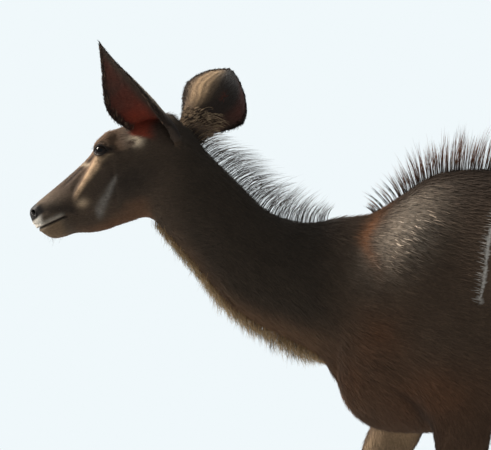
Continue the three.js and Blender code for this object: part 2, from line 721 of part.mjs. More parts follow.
function makeHead() {
  let solid = headLoft();
  solid = cutOff(solid, add(headPlane.point, headPlane.normal, -GAP / 2), headPlane.normal);
  for (const side of [-1, 1]) {
    solid = solid.add(ball(eyeCentre(side), EYE_RADIUS + LID_THICKNESS + 0.4, 3));
    solid = solid.subtract(lidOpening(side));
    solid = solid.subtract(ball(eyeCentre(side), EYE_RADIUS + GAP + 0.05, 2));
    solid = solid.subtract(nostril(side));
  }
  return largest(solid.subtract(mouthWedge()));
}
const makeEye = (side) => ball(eyeCentre(side), EYE_RADIUS, 2);

// Ears: a leaf curled into a cup, with a pointed tip. Each row gives, at a share of the length:
// half width, curl in degrees, bend, how deep the cup is for its width, and how far it lies to one side.
// lobe is the share of that last measure an ear takes; open flattens the cup, arch bows the whole ear
// away from its facing, and stem narrows its root.
const earRows = [
  [-0.14, 36, 140, 0, 0.62, 0],
  [0, 40, 126, 0, 0.66, 0],
  [0.08, 43, 112, 2, 0.72, 0],
  [0.16, 48, 102, 5, 0.8, 5],
  [0.24, 53, 95, 7, 0.86, 12],
  [0.32, 58, 88, 7, 0.9, 18],
  [0.42, 57, 80, 6, 0.92, 19],
  [0.53, 49, 72, 3, 0.92, 16],
  [0.64, 38, 63, 0, 0.92, 13],
  [0.77, 22, 52, -3, 0.92, 10],
  [0.9, 8, 40, -5, 0.92, 6],
  [1, 1.2, 20, -6, 0.92, 0],
];
const ears = {
  left: {
    root: [-688, -50, 1306],
    tip: [-817, -150, 1512],
    look: [-0.6, -0.75, -0.15],
    lobe: 1,
    open: 1,
    arch: 0,
    stem: 0,
  },
  right: {
    root: [-636, 47, 1306],
    tip: [-540, 206, 1463],
    look: [-0.38, 0.72, -0.55],
    lobe: 0.55,
    open: 1.3,
    arch: -60,
    stem: 0.3,
  },
};
function earFrame(ear) {
  const reach = add(ear.tip, ear.root, -1);
  const along = unit(reach);
  const face = unit(add(ear.look, along, -dot(ear.look, along)));
  return { ...ear, along, face, across: cross(along, face), length: Math.hypot(...reach) };
}
// A point of the ear's wall: u along it, v from -1 to 1 across it, w from the outside to the inside
function earPoint(ear, u, v, w) {
  const [width, curl, bend, flat, shift] = smoothRow(earRows, u);
  const open = 1 + (ear.open - 1) * smoothstep(0.15, 0.45, u);
  const half = width * (1 - ear.stem * (1 - smoothstep(0.05, 0.3, u)));
  const angle = ((curl / open) * Math.PI) / 180;
  const radius = (half * open) / Math.sin(Math.min(angle, Math.PI / 2));
  const wall = EAR_WALL * (1 - 0.7 * Math.abs(v) ** 3) * (1 - 0.72 * clamp(u, 0, 1));
  const r = Math.max(radius + (w - 0.5) * -wall, 0.3);
  const turn = angle * v;
  const deep = radius * Math.cos(angle);
  let p = add(ear.root, ear.along, u * ear.length);
  p = add(p, ear.across, r * Math.sin(turn) - shift * ear.lobe);
  return add(p, ear.face, -(r * Math.cos(turn) - deep) * flat + bend + ear.arch * 4 * u * (1 - u));
}
function makeEar(which, cutter) {
  const ear = earFrame(ears[which]);
  const [lengthwise, crosswise] = [12, 9];
  const rings = [];
  for (let i = 0; i <= lengthwise; i += 1) {
    const u = -0.14 + 1.14 * (i / lengthwise);
    const ring = [];
    for (let j = 0; j <= crosswise; j += 1) ring.push(earPoint(ear, u, (j / crosswise) * 2 - 1, 0));
    for (let j = crosswise; j >= 0; j -= 1) ring.push(earPoint(ear, u, (j / crosswise) * 2 - 1, 1));
    rings.push(ring);
  }
  const solid = solidFromRings(rings, middleOf(rings[0]), middleOf(rings[lengthwise]));
  return largest(solid.subtract(cutter));
}

// Legs
function legLoft(leg, level = 0) {
  const top = leg.fore ? 722 : 880;
  const heights = leg.fore
    ? [50, 72, 92, 114, 130, 142, 156, 176, 220, 300, 345, 370, 395, 420, 448, 500, 560, 620, 675, top]
    : [50, 72, 94, 116, 134, 148, 164, 190, 260, 370, 425, 460, 488, 512, 538, 568, 610, 665, 730, 800, top];
  const stations = heights.map((z) => {
    const [, , , mid, , , offset] = smoothRow(leg.tubeRows, z);
    const tilt = leg.fore ? 0 : smoothstep(600, 800, z) * Math.atan(HIND_CUT.slope);
    return { centre: [-mid, offset, z], up: [-Math.cos(tilt), 0, -Math.sin(tilt)] };
  });
  const rings = castRings(level ? leg.field : wholeField, stations, 12, level);
  return solidFromRings(rings, stations[0].centre, stations[stations.length - 1].centre);
}
function makeLeg(leg) {
  let solid = cutOff(legLoft(leg), [0, 0, HOOF_HEIGHT + GAP], [0, 0, -1]);
  const turn = leg.fore ? 0 : Math.atan(HIND_CUT.slope);
  const point = leg.fore ? [0, 0, FORE_CUT] : [HIND_CUT.x, 0, HIND_CUT.z];
  solid = cutOff(solid, point, [-Math.sin(turn), 0, Math.cos(turn)]);
  const inner = (leg.fore ? FORE_INNER : HIND_INNER) + GAP;
  return largest(cutOff(solid, [0, leg.side * inner, 0], [0, -leg.side, 0], 1400));
}

// A hoof's claw: a flat sole, pointed in front, and walls that lean back to the coronet
function makeHoof(leg, claw) {
  const [, , , mid, , , offset] = smoothRow(leg.tubeRows, HOOF_HEIGHT);
  const around = 12;
  const layers = [
    { z: 0, front: 68, back: 31, half: 15.5 },
    { z: 6, front: 65, back: 32, half: 16 },
    { z: 32, front: 48, back: 33, half: 15.3 },
    { z: HOOF_HEIGHT, front: 31, back: 30, half: 13 },
  ];
  const rings = layers.map(({ z, front, back, half }) => {
    const ring = [];
    for (let j = 0; j < around; j += 1) {
      const angle = (2 * Math.PI * j) / around;
      const ahead = Math.cos(angle);
      const reach = ahead > 0 ? front * ahead ** 1.15 : back * ahead;
      const width = half * Math.sin(angle) * (ahead > 0 ? 1 - 0.42 * ahead ** 2 : 1);
      const inside = Math.sin(angle) < 0 ? 0.55 : 1.15;
      const y = offset + claw * (HOOF_CLEFT / 2 + half * 0.55) + claw * width * inside;
      ring.push([-mid - reach, y, z]);
    }
    return ring;
  });
  return solidFromRings(rings, middleOf(rings[0]), middleOf(rings[rings.length - 1]));
}

// The two small claws behind each fetlock
function makeDewclaw(leg, claw, cutter) {
  const [, back, , , , , offset] = smoothRow(leg.tubeRows, 116);
  const geometry = new THREE.ConeGeometry(10, 27, 8, 1);
  geometry.rotateX(-Math.PI / 2);
  geometry.rotateY(-0.6);
  geometry.translate(-back + 2, offset + claw * 12, 107);
  return largest(solidOf(geometry).subtract(cutter));
}

// Tail
function makeTail(cutter) {
  const heights = [1172, 1148, 1120, 1085, 1040, 980, 910, 850, 800, 765, 745];
  const stations = heights.map((z) => {
    const [, , , mid] = smoothRow(tailRows, z);
    const tilt = smoothstep(1060, 1170, z) * 0.9;
    return { centre: [-mid, 0, z], up: [-Math.cos(tilt), 0, -Math.sin(tilt)] };
  });
  const rings = castRings(tailField, stations, 12);
  const end = add(stations[heights.length - 1].centre, [0, 0, -1], 6);
  const solid = solidFromRings(rings, stations[0].centre, end);
  const tuft = [];
  for (let i = 0; i < TAIL_TUFT.locks; i += 1) {
    const z = TAIL_TUFT.top - (TAIL_TUFT.top - TAIL_TUFT.bottom) * (i / (TAIL_TUFT.locks - 1));
    const around = i * TAIL_TUFT.turn;
    const outward = [Math.cos(around), Math.sin(around), 0];
    const [, , , mid] = smoothRow(tailRows, z);
    const root = skinLine(tailField, [-mid, 0, z], outward);
    tuft.push(
      lock({
        root,
        rise: unit(add(outward, [0, 0, -2.4])),
        sweep: unit(add(outward, [0, 0, -12])),
        side: unit(add(outward, [0, 0, 0.2])),
        length: 62 + 8 * draw(),
        width: 30,
        thickness: 7,
        sink: 14,
      }),
    );
  }
  return largest(fuse([solid, ...tuft]).subtract(cutter));
}

// Colours of the hide, horn and eyes
const finish = {
  coat: new THREE.MeshStandardMaterial({ color: 0x6f5644, roughness: 0.85, metalness: 0 }),
  ear: new THREE.MeshStandardMaterial({ color: 0x5a463a, roughness: 0.85, metalness: 0 }),
  horn: new THREE.MeshStandardMaterial({ color: 0x2a2522, roughness: 0.5, metalness: 0 }),
  eye: new THREE.MeshStandardMaterial({ color: 0x140d09, roughness: 0.05, metalness: 0 }),
};

const kudu = new THREE.Group();
function place(name, solid, material) {
  const mesh = solid.getMesh();
  const points = new Float32Array(mesh.numVert * 3);
  for (let i = 0; i < mesh.numVert; i += 1) {
    points.set(mesh.vertProperties.subarray(i * mesh.numProp, i * mesh.numProp + 3), i * 3);
  }
  const geometry = new THREE.BufferGeometry();
  geometry.setAttribute("position", new THREE.BufferAttribute(points, 3));
  geometry.setIndex(new THREE.BufferAttribute(mesh.triVerts, 1));
  const part = new THREE.Mesh(geometry, material.clone());
  part.name = name;
  kudu.add(part);
}

const headCutter = fuse([headLoft(GAP + 0.3), neckLoft(GAP + 0.3)]);
const torsoCutter = torsoLoft(GAP + 0.3);
place("torso", makeTorso(), finish.coat);
place("neck", makeNeck(), finish.coat);
place("head", makeHead(), finish.coat);
place("eye_left", makeEye(-1), finish.eye);
place("eye_right", makeEye(1), finish.eye);
place("ear_left", makeEar("left", headCutter), finish.ear);
place("ear_right", makeEar("right", headCutter), finish.ear);
place("tail", makeTail(torsoCutter), finish.coat);
for (const leg of legs) {
  place(leg.name, makeLeg(leg), finish.coat);
  const cutter = legLoft(leg, GAP + 0.3);
  for (const [claw, word] of [[-1, "near"], [1, "off"]]) {
    const foot = leg.name.replace("leg", "hoof");
    place(foot + "_" + word, makeHoof(leg, claw), finish.horn);
    place(foot.replace("hoof", "dewclaw") + "_" + word, makeDewclaw(leg, claw, cutter), finish.horn);
  }
}
// The middle of the outline stands at the origin
const middle = new THREE.Box3().setFromObject(kudu).getCenter(new THREE.Vector3());
kudu.position.set(-middle.x, -middle.y, 0);

export default kudu;
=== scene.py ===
"""A greater kudu cow, life size, dressed over her CAD frame: skin, coat, manes, eyes and hooves."""

import math

import bpy
import numpy as np
from bpy.props import FloatProperty, FloatVectorProperty, IntProperty, PointerProperty
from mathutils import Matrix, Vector


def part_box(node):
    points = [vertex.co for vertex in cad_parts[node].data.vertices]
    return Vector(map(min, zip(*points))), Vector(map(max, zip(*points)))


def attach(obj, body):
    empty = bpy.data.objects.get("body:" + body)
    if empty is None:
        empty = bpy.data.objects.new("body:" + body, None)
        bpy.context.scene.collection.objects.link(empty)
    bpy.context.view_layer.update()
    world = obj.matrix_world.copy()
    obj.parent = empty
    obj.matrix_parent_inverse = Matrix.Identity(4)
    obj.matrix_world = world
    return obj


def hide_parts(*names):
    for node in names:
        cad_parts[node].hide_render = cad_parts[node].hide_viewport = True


bl_info = {
    "name": "Greater kudu cow",
    "version": (1, 0, 0),
    "blender": (4, 5, 0),
    "location": "3D View > Sidebar > Kudu",
    "description": "Skin, coat, manes, eyes and hooves of a life-size greater kudu cow",
    "category": "Object",
}

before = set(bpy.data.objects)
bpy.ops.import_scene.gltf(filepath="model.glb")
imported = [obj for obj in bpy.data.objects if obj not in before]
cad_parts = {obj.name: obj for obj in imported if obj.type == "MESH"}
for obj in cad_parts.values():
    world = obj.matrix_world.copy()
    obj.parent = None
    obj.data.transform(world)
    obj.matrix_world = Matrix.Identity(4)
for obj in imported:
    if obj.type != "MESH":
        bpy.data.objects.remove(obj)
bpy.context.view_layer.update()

# The animal's own measures, in millimetres. She looks along -X and her left side faces -Y.
EYE_RADIUS = 17
LID_THICKNESS = 2.6
LID_LENGTH = 32.5
LID_TOP = 9.4
LID_BOTTOM = 8.2
NOSTRIL_LENGTH = 7.4
NOSTRIL_WIDTH = 3.8
MOUTH_LEVEL = -30
HEAD_FLOOR = 950  # the head is above this height
HEAD_BACK = -560  # and before this place
EAR_FLOOR = 1290
EAR_WALL = 3.2
HOOF_HEIGHT = 56
HOOF_CLEFT = 5
STEP_FORE_FAR = -285
SWING_HIND_NEAR = -105
SWING_HIND_FAR = 85
HIP_HEIGHT = 1080
SKIN_BOX = (-1010, -216, 40), (1020, 216, 1390)
SKIN_CELL = 9.0

# The photograph's frame, in pixels, with the place of the animal's own origin in it
PHOTO_SIZE = 491, 450
PHOTO_ORIGIN = 480, 749
PIXEL = 2.15

SIDE = np.array([0.0, 1.0, 0.0])


def unit(v):
    v = np.asarray(v, float)
    return v / np.maximum(np.linalg.norm(v, axis=-1, keepdims=True), 1e-12)


def smoothstep(low, high, x):
    t = np.clip((np.asarray(x, float) - low) / (high - low), 0, 1)
    return t * t * (3 - 2 * t)


def span(x, start, full, fade, end):
    """1 between full and fade, falling to 0 towards start and end."""
    return smoothstep(start, full, x) * smoothstep(end, fade, x)


def bump(x, centre, radius):
    return np.exp(-(((x - centre) / radius) ** 2))


def blot(a, b):
    return np.exp(-(a**2) - b**2)


def curve_rows(rows):
    """A smooth curve through the rows of a table whose first column is the position."""
    rows = np.asarray(rows, float)
    knots, values = rows[:, 0], rows[:, 1:]
    before = np.maximum(np.arange(len(knots)) - 1, 0)
    after = np.minimum(np.arange(len(knots)) + 1, len(knots) - 1)
    slopes = (values[after] - values[before]) / (knots[after] - knots[before])[:, None]

    def look(t):
        t = np.clip(np.asarray(t, float), knots[0], knots[-1])
        i = np.clip(np.searchsorted(knots, t, side="right") - 1, 0, len(knots) - 2)
        span = (knots[i + 1] - knots[i])[..., None]
        u = (t - knots[i])[..., None] / span
        return (
            (2 * u**3 - 3 * u**2 + 1) * values[i]
            + (u**3 - 2 * u**2 + u) * slopes[i] * span
            + (3 * u**2 - 2 * u**3) * values[i + 1]
            + (u**3 - u**2) * slopes[i + 1] * span
        )

    return look


NEAR = 100  # beyond this distance from a tube, the distance to its box will do


def tube(origin, along, up, rows, low=-1e9, high=1e9):
    """A tube along a line.

    Its rows give top, bottom, half width, widest level, squareness above and below, and offset.
    """
    origin, along, up = (np.asarray(v, float) for v in (origin, along, up))
    look = curve_rows(rows)
    start, end = max(rows[0][0], low), min(rows[-1][0], high)
    stops = np.linspace(start, end, 24)
    rims = []
    for t, (top, bottom, half, _mid, _a, _b, offset) in zip(stops, look(stops)):
        for level in (top, bottom):
            for edge in (-half, half):
                rims.append(origin + along * t + up * level + SIDE * (offset + edge))
    box_low, box_high = np.min(rims, 0), np.max(rims, 0)

    def exact(p):
        d = p - origin
        t = d @ along
        top, bottom, half, mid, over, under, offset = look(np.clip(t, start, end)).T
        h = d @ up - mid
        y = d[:, 1] - offset
        n = np.where(h > 0, over, under)
        reach = np.where(h > 0, top - mid, mid - bottom)
        r = np.hypot(h, y)
        ratio = (np.abs(y / half) ** n + np.abs(h / reach) ** n) ** (1 / n)
        least = -np.minimum(half, reach)
        across = np.where(r < 1e-3, least, np.maximum(r * (1 - 1 / np.maximum(ratio, 1e-9)), least))
        beyond = np.maximum(start - t, t - end)
        inside = np.minimum(np.maximum(across, beyond), 0)
        return inside + np.hypot(np.maximum(across, 0), np.maximum(beyond, 0))

    def distance(p):
        gap = np.maximum(np.maximum(box_low - p, p - box_high), 0)
        out = np.linalg.norm(gap, axis=1)
        close = out < NEAR
        if close.any():
            out[close] = exact(p[close])
        return out

    return distance


def melt(a, b, reach):
    near = np.maximum(reach - np.abs(a - b), 0) / reach
    return np.minimum(a, b) - near * near * reach * 0.25


def swellings(forms, p):
    """Soft swellings and hollows, each a place, a radius, a height and a lean in degrees."""
    total = np.zeros(len(p))
    for place, radius, height, lean in forms:
        c, s = math.cos(math.radians(lean)), math.sin(math.radians(lean))
        x, z = p[:, 0] - place[0], p[:, 2] - place[2]
        a = (x * c + z * s) / radius[0]
        b = (np.abs(p[:, 1]) - place[1]) / radius[1]
        d = (-x * s + z * c) / radius[2]
        total += height * np.exp(-(a * a + b * b + d * d))
    return total


TRUNK = [
    (-312, 866, 800, 18, 832, 2, 2, 0),
    (-290, 985, 744, 64, 850, 2, 2, 0),
    (-250, 1085, 706, 100, 870, 1.9, 2, 0),
    (-190, 1172, 685, 128, 890, 1.75, 2, 0),
    (-110, 1226, 679, 148, 905, 1.6, 2, 0),
    (-20, 1247, 690, 162, 915, 1.6, 2.1, 0),
    (90, 1243, 700, 174, 920, 1.7, 2.2, 0),
    (250, 1227, 706, 188, 930, 1.85, 2.2, 0),
    (430, 1221, 722, 192, 945, 1.95, 2.1, 0),
    (580, 1230, 757, 182, 980, 1.95, 2, 0),
    (700, 1238, 800, 168, 1020, 1.9, 2, 0),
    (800, 1222, 840, 154, 1040, 1.9, 2, 0),
    (880, 1178, 880, 130, 1040, 1.9, 2, 0),
    (930, 1118, 930, 96, 1030, 2, 2, 0),
    (956, 1062, 985, 48, 1022, 2, 2, 0),
]
NECK_START = np.array([-665.0, 0, 1255])
NECK_ALONG = unit([410, 0, -255])
NECK_UP = np.array([-NECK_ALONG[2], 0, NECK_ALONG[0]])
NECK = [
    (-60, 84, -62, 46, 10, 2, 2, 0),
    (0, 88, -98, 58, 0, 2, 2, 0),
    (45, 70, -122, 62, -20, 2, 2, 0),
    (100, 57, -139, 64, -38, 1.9, 2, 0),
    (165, 42, -158, 67, -55, 1.85, 2, 0),
    (215, 31, -176, 71, -68, 1.8, 2, 0),
    (265, 35, -190, 77, -75, 1.8, 2, 0),
    (320, 57, -195, 87, -72, 1.75, 2, 0),
    (375, 106, -190, 101, -60, 1.7, 2, 0),
    (440, 150, -184, 116, -45, 1.7, 2, 0),
    (520, 170, -176, 122, -30, 1.7, 2, 0),
]
HEAD_START = np.array([-688.0, 0, 1255.6])
HEAD_ALONG = unit([-277.4, 0, -109.6])
HEAD_UP = np.array([HEAD_ALONG[2], 0, -HEAD_ALONG[0]])
HEAD = [
    (-66, 90, -58, 44, 25, 2, 2, 0),
    (-30, 103, -74, 55, 25, 2.1, 2, 0),
    (20, 107, -89, 60, 18, 2.2, 2, 0),
    (60, 106, -92, 61, 18, 2.3, 1.9, 0),
    (88, 103, -91, 62, 22, 2.4, 1.8, 0),
    (112, 90, -90, 59, 22, 2.3, 1.8, 0),
    (132, 75, -89, 53, 14, 2.2, 1.8, 0),
    (160, 62.5, -88, 45, 4, 2.1, 1.9, 0),
    (190, 51.5, -82, 39, -4, 2, 2, 0),
    (220, 41, -71, 35, -8, 2, 2.1, 0),
    (250, 31, -68, 33.5, -11, 2.1, 2.2, 0),
    (272, 23.5, -61, 33.5, -12, 2.3, 2.2, 0),
    (286, 18.5, -46, 30, -11, 2.3, 2.2, 0),
    (295, 13, -28, 23, -9, 2.2, 2.1, 0),
    (300, 3, -18, 12, -8, 2, 2, 0),
]
HEAD_FORMS = [
    ((106, 40, 94), (21, 17, 14), 13, 0),  # brow over the eye
    ((80, 28, 106), (22, 22, 14), 6, 0),  # forehead
    ((101, 54, 66), (26, 14, 22), 6, 0),  # rim of the orbit
    ((70, 46, 82), (26, 18, 22), -4, 0),  # temple
    ((128, 47, 42), (30, 12, 15), 5, -34),  # cheek bone under the eye
    ((165, 40, 18), (26, 10, 10), 4, -38),
    ((140, 36, 66), (26, 10, 12), -4, -24),  # hollow before the eye
    ((70, 52, -30), (40, 18, 42), 7, 0),  # jaw muscle
    ((185, 35, -14), (13, 10, 9), 5, 20),  # end of the cheek muscle
    ((226, 30, -36), (12, 9, 9), -2.5, 0),  # corner of the mouth
    ((180, 34, -46), (32, 14, 16), -3, 0),  # bar of the jaw
    ((268, 29, -17), (18, 9, 11), 4.5, 0),  # upper lip beside the nostril
    ((276, 22, 13), (10, 9, 9), 3.6, 0),  # wing of the nostril
    ((262, 18, -56), (16, 16, 10), 3, 0),  # chin
    ((-14, 50, 66), (30, 22, 34), 13, 0),  # root of the ear
]
BODY_FORMS = [
    ((-140, 120, 1090), (62, 90, 165), 17, -20),  # shoulder blade
    ((-172, 118, 1122), (50, 60, 76), 13, -16),  # spine of the shoulder blade
    ((-262, 98, 1106), (24, 60, 72), -10, -18),  # groove before the shoulder blade
    ((-232, 92, 905), (52, 70, 62), 12, 0),  # point of the shoulder
    ((-48, 138, 860), (85, 80, 115), 13, 18),  # back of the upper arm
    ((62, 168, 880), (26, 70, 150), -7, 0),  # crease behind the shoulder
    ((-285, 70, 1010), (40, 60, 90), -9, -16),  # hollow before the shoulder
    ((-215, 0, 716), (70, 32, 45), 10, 0),  # brisket
    ((-110, 0, 1252), (95, 26, 40), 7, 0),  # withers
    ((775, 142, 985), (120, 90, 150), 14, 0),  # thigh
    ((640, 118, 1155), (42, 42, 38), 13, 0),  # hip bone
    ((600, 172, 1030), (52, 60, 80), -13, 0),  # hollow of the flank
    ((930, 58, 1090), (34, 34, 36), 9, 0),  # pin bone
    ((860, 0, 1030), (90, 26, 150), -6, 0),  # cleft between the thighs
]
# Legs: height, centre, half length, half width, distance from the middle of the body
FORE = [
    (36, -80, 31, 28, 70), (58, -77, 30, 27, 70), (82, -66, 24, 24, 70), (110, -54, 23, 22, 70),
    (140, -48, 27, 24, 70), (175, -48, 21, 18, 71), (240, -47, 19, 16.5, 72), (320, -46, 20, 17.5, 73),
    (362, -46, 25, 23, 74), (395, -48, 31, 28, 76), (430, -46, 31, 28, 78), (480, -44, 32, 27, 81),
    (560, -44, 43, 31, 87), (643, -44, 60, 38, 95), (715, -46, 73, 44, 101), (780, -50, 86, 48, 102),
    (860, -50, 92, 48, 95),
]
HIND = [
    (36, 777, 31, 28, 76), (58, 780, 30, 27, 76), (84, 792, 24, 23, 76), (112, 804, 23, 22, 76),
    (145, 812, 28, 24, 76), (190, 814, 21, 18, 77), (280, 818, 20.5, 16.5, 78), (380, 822, 21.5, 17, 80),
    (440, 826, 25, 20, 82), (480, 832, 32, 24, 84), (515, 838, 39, 25, 86), (550, 828, 43, 27, 88),
    (600, 809, 55, 33, 93), (660, 788, 75, 42, 99), (720, 772, 98, 52, 104), (780, 768, 120, 60, 106),
    (840, 772, 138, 68, 104), (900, 784, 150, 74, 96), (1000, 800, 146, 74, 82),
]
STEP = curve_rows([(58, 1), (140, 0.95), (400, 0.77), (643, 0.53), (715, 0.37), (800, 0.12), (860, 0)])
TAIL = [
    (z, x + length, x - length, width, x, 2, 2, 0)
    for z, x, length, width in (
        (735, -974, 3, 4), (755, -975, 9, 12), (790, -978, 13, 18), (840, -982, 15, 21), (910, -985, 15, 20),
        (1000, -983, 16, 20), (1090, -967, 19, 21), (1140, -940, 24, 23), (1175, -905, 30, 27),
    )
]
LEGS = {}
for leg_name, side, rows, step, swing in (
    ("foreleg_left", -1, FORE, 0, 0),
    ("foreleg_right", 1, FORE, STEP_FORE_FAR, 0),
    ("hindleg_left", -1, HIND, 0, SWING_HIND_NEAR),
    ("hindleg_right", 1, HIND, 0, SWING_HIND_FAR),
):
    tube_rows = []
    for z, x, length, width, apart in rows:
        shear = step * float(STEP(z)[0]) + swing * (HIP_HEIGHT - z) / (HIP_HEIGHT - HOOF_HEIGHT)
        centre = -(x + shear)
        tube_rows.append((z, centre + length, centre - length, width, centre, 2, 2, side * apart))
    LEGS[leg_name] = {"side": side, "rows": tube_rows, "look": curve_rows(tube_rows), "fore": rows is FORE}

DOWN_UP = np.array([0.0, 0, 1])
trunk = tube((0, 0, 0), (1, 0, 0), (0, 0, 1), TRUNK)
neck = tube(NECK_START, NECK_ALONG, NECK_UP, NECK)
head_tube = tube(HEAD_START, HEAD_ALONG, HEAD_UP, HEAD)
tail_tube = tube((0, 0, 0), (0, 0, 1), (-1, 0, 0), TAIL)
for leg in LEGS.values():
    leg["tube"] = tube((0, 0, 0), (0, 0, 1), (-1, 0, 0), leg["rows"])


def head_point(along, side, up):
    return HEAD_START + HEAD_ALONG * along + HEAD_UP * up + SIDE * side


def head_local(p):
    d = p - HEAD_START
    return np.stack([d @ HEAD_ALONG, p[:, 1], d @ HEAD_UP], 1)


EYES = {side: head_point(104, side * 47, 71) for side in (-1, 1)}
EYE_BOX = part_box("eye_left")
SHIFT = np.array((EYE_BOX[0] + EYE_BOX[1]) / 2) * 1000 - EYES[-1]


def to_world(p):
    return (np.asarray(p, float) + SHIFT) / 1000


def flesh(p):
    """The distance to the animal's outline without her manes, as the CAD solids have it."""
    d = head_tube(p)
    close = d < 90
    if close.any():
        q = p[close]
        part = d[close] - swellings(HEAD_FORMS, head_local(q))
        for place in EYES.values():
            part = melt(part, np.linalg.norm(q - place, axis=1) - EYE_RADIUS - LID_THICKNESS, 17)
        d[close] = part
    d = melt(trunk(p), melt(neck(p), d, 34), 70)
    legs = np.min([leg["tube"](p) for leg in LEGS.values()], axis=0)
    d = melt(d, legs, 46)
    close = d < 60
    if close.any():
        d[close] -= swellings(BODY_FORMS, p[close])
    return d


def coat_depth(p):
    """How deep the skin lies under the tips of the coat."""
    s = head_local(p)[:, 0]
    depth = 4.2 - 2.8 * smoothstep(-90, 40, s) * (p[:, 2] > 950)
    depth = depth - 0.7 * smoothstep(180, 280, s) * (p[:, 2] > 950)
    return np.minimum(depth, 1.7 + 2.5 * smoothstep(330, 700, p[:, 2]))


def hide(p):
    """The distance to the skin: the outline, less the coat's depth, cut off level inside the hooves."""
    d = melt(flesh(p), tail_tube(p), 20) + coat_depth(p)
    return np.maximum(d, HOOF_HEIGHT - 3 - p[:, 2])


def slope_of(field, p, step=0.8):
    out = np.empty_like(p)
    for axis in range(3):
        shift = np.zeros(3)
        shift[axis] = step
        out[:, axis] = (field(p + shift) - field(p - shift)) / (2 * step)
    return out


def settle(field, p, rounds=2):
    """Points moved along the field's slope until they lie on its surface."""
    for _ in range(rounds):
        g = slope_of(field, p)
        p = p - np.clip(field(p), -6, 6)[:, None] * g / np.maximum((g * g).sum(1), 0.2)[:, None]
    return p


def cast(field, origins, direction, far=460, step=6):
    """Where rays from inside the animal leave her skin, as distances."""
    origins = np.atleast_2d(origins)
    direction = np.broadcast_to(np.asarray(direction, float), origins.shape)
    near = np.zeros(len(origins))
    alive = np.ones(len(origins), bool)
    for k in range(1, int(far / step)):
        inside = field(origins + direction * (k * step)) < 0
        near = np.where(alive & inside, k * step, near)
        alive &= inside
    low, high = near, near + step
    for _ in range(12):
        middle = (low + high) / 2
        inside = field(origins + direction * middle[:, None]) < 0
        low, high = np.where(inside, middle, low), np.where(inside, high, middle)
    return low


def surface_net(field, low, high, step):
    """A closed net of triangles over the surface of a field, from a grid of cells."""
    axes = [np.arange(a, b + step, step) for a, b in zip(low, high)]
    shape = tuple(len(a) for a in axes)
    grid = np.stack(np.meshgrid(*axes, indexing="ij"), -1).reshape(-1, 3)
    values = np.concatenate([field(part) for part in np.array_split(grid, 12)]).reshape(shape)
    inside = values < 0
    cells = tuple(n - 1 for n in shape)
    count = np.zeros(cells, int)
    weight = np.zeros(cells)
    total = np.zeros(cells + (3,))
    corner = {}
    for a in (0, 1):
        for b in (0, 1):
            for c in (0, 1):
                cut = (slice(a, a + cells[0]), slice(b, b + cells[1]), slice(c, c + cells[2]))
                corner[a, b, c] = (values[cut], inside[cut])
                count += inside[cut]
    for (a, b, c), (va, ia) in corner.items():
        for axis in range(3):
            if (a, b, c)[axis]:
                continue
            other = tuple(v + (k == axis) for k, v in enumerate((a, b, c)))
            vb, ib = corner[other]
            crossed = ia != ib
            part = np.where(crossed, va / np.where(crossed, va - vb, 1), 0)
            for k in range(3):
                total[..., k] += np.where(crossed, (a, b, c)[k] + (part if k == axis else 0), 0)
            weight += crossed
    live = (count > 0) & (count < 8)
    index = np.full(cells, -1)
    index[live] = np.arange(live.sum())
    where = np.argwhere(live)
    points = (where + total[live] / weight[live][:, None]) * step + np.array([a[0] for a in axes])
    quads = []
    for axis in range(3):
        u, v = (axis + 1) % 3, (axis + 2) % 3
        first = [slice(1, n - 1) for n in shape]
        second = list(first)
        first[axis] = slice(0, shape[axis] - 1)
        second[axis] = slice(1, shape[axis])
        a, b = inside[tuple(first)], inside[tuple(second)]
        base = np.argwhere(a != b)
        start = np.array([1, 1, 1])
        start[axis] = 0
        cell = base + start
        around = []
        for du, dv in ((-1, -1), (0, -1), (0, 0), (-1, 0)):
            at = cell.copy()
            at[:, u] += du
            at[:, v] += dv
            around.append(index[tuple(at.T)])
        around = np.stack(around, 1)
        turn = b[tuple(base.T)]
        around[turn] = around[turn][:, ::-1]
        quads.append(around)
    quads = np.concatenate(quads)
    p = points[quads]
    short = np.linalg.norm(p[:, 0] - p[:, 2], axis=1) <= np.linalg.norm(p[:, 1] - p[:, 3], axis=1)
    one = np.where(short[:, None], quads[:, [0, 1, 2]], quads[:, [0, 1, 3]])
    two = np.where(short[:, None], quads[:, [0, 2, 3]], quads[:, [1, 2, 3]])
    return points, np.concatenate([one, two])


def edges_of(faces):
    pairs = np.sort(np.concatenate([faces[:, [0, 1]], faces[:, [1, 2]], faces[:, [2, 0]]]), 1)
    edges, inverse = np.unique(pairs, axis=0, return_inverse=True)
    return edges, inverse.reshape(3, -1).T


def relax(points, faces, rounds=1, part=0.5, mask=None):
    """Points drawn towards the mean of their neighbours."""
    edges, _ = edges_of(faces)
    a, b = edges.T
    count = np.bincount(a, minlength=len(points)) + np.bincount(b, minlength=len(points))
    weight = part if mask is None else part * mask[:, None]
    for _ in range(rounds):
        total = [np.bincount(a, q[b], len(q)) + np.bincount(b, q[a], len(q)) for q in points.T]
        mean = np.stack(total, 1) / np.maximum(count, 1)[:, None]
        points = points + (mean - points) * weight
    return points


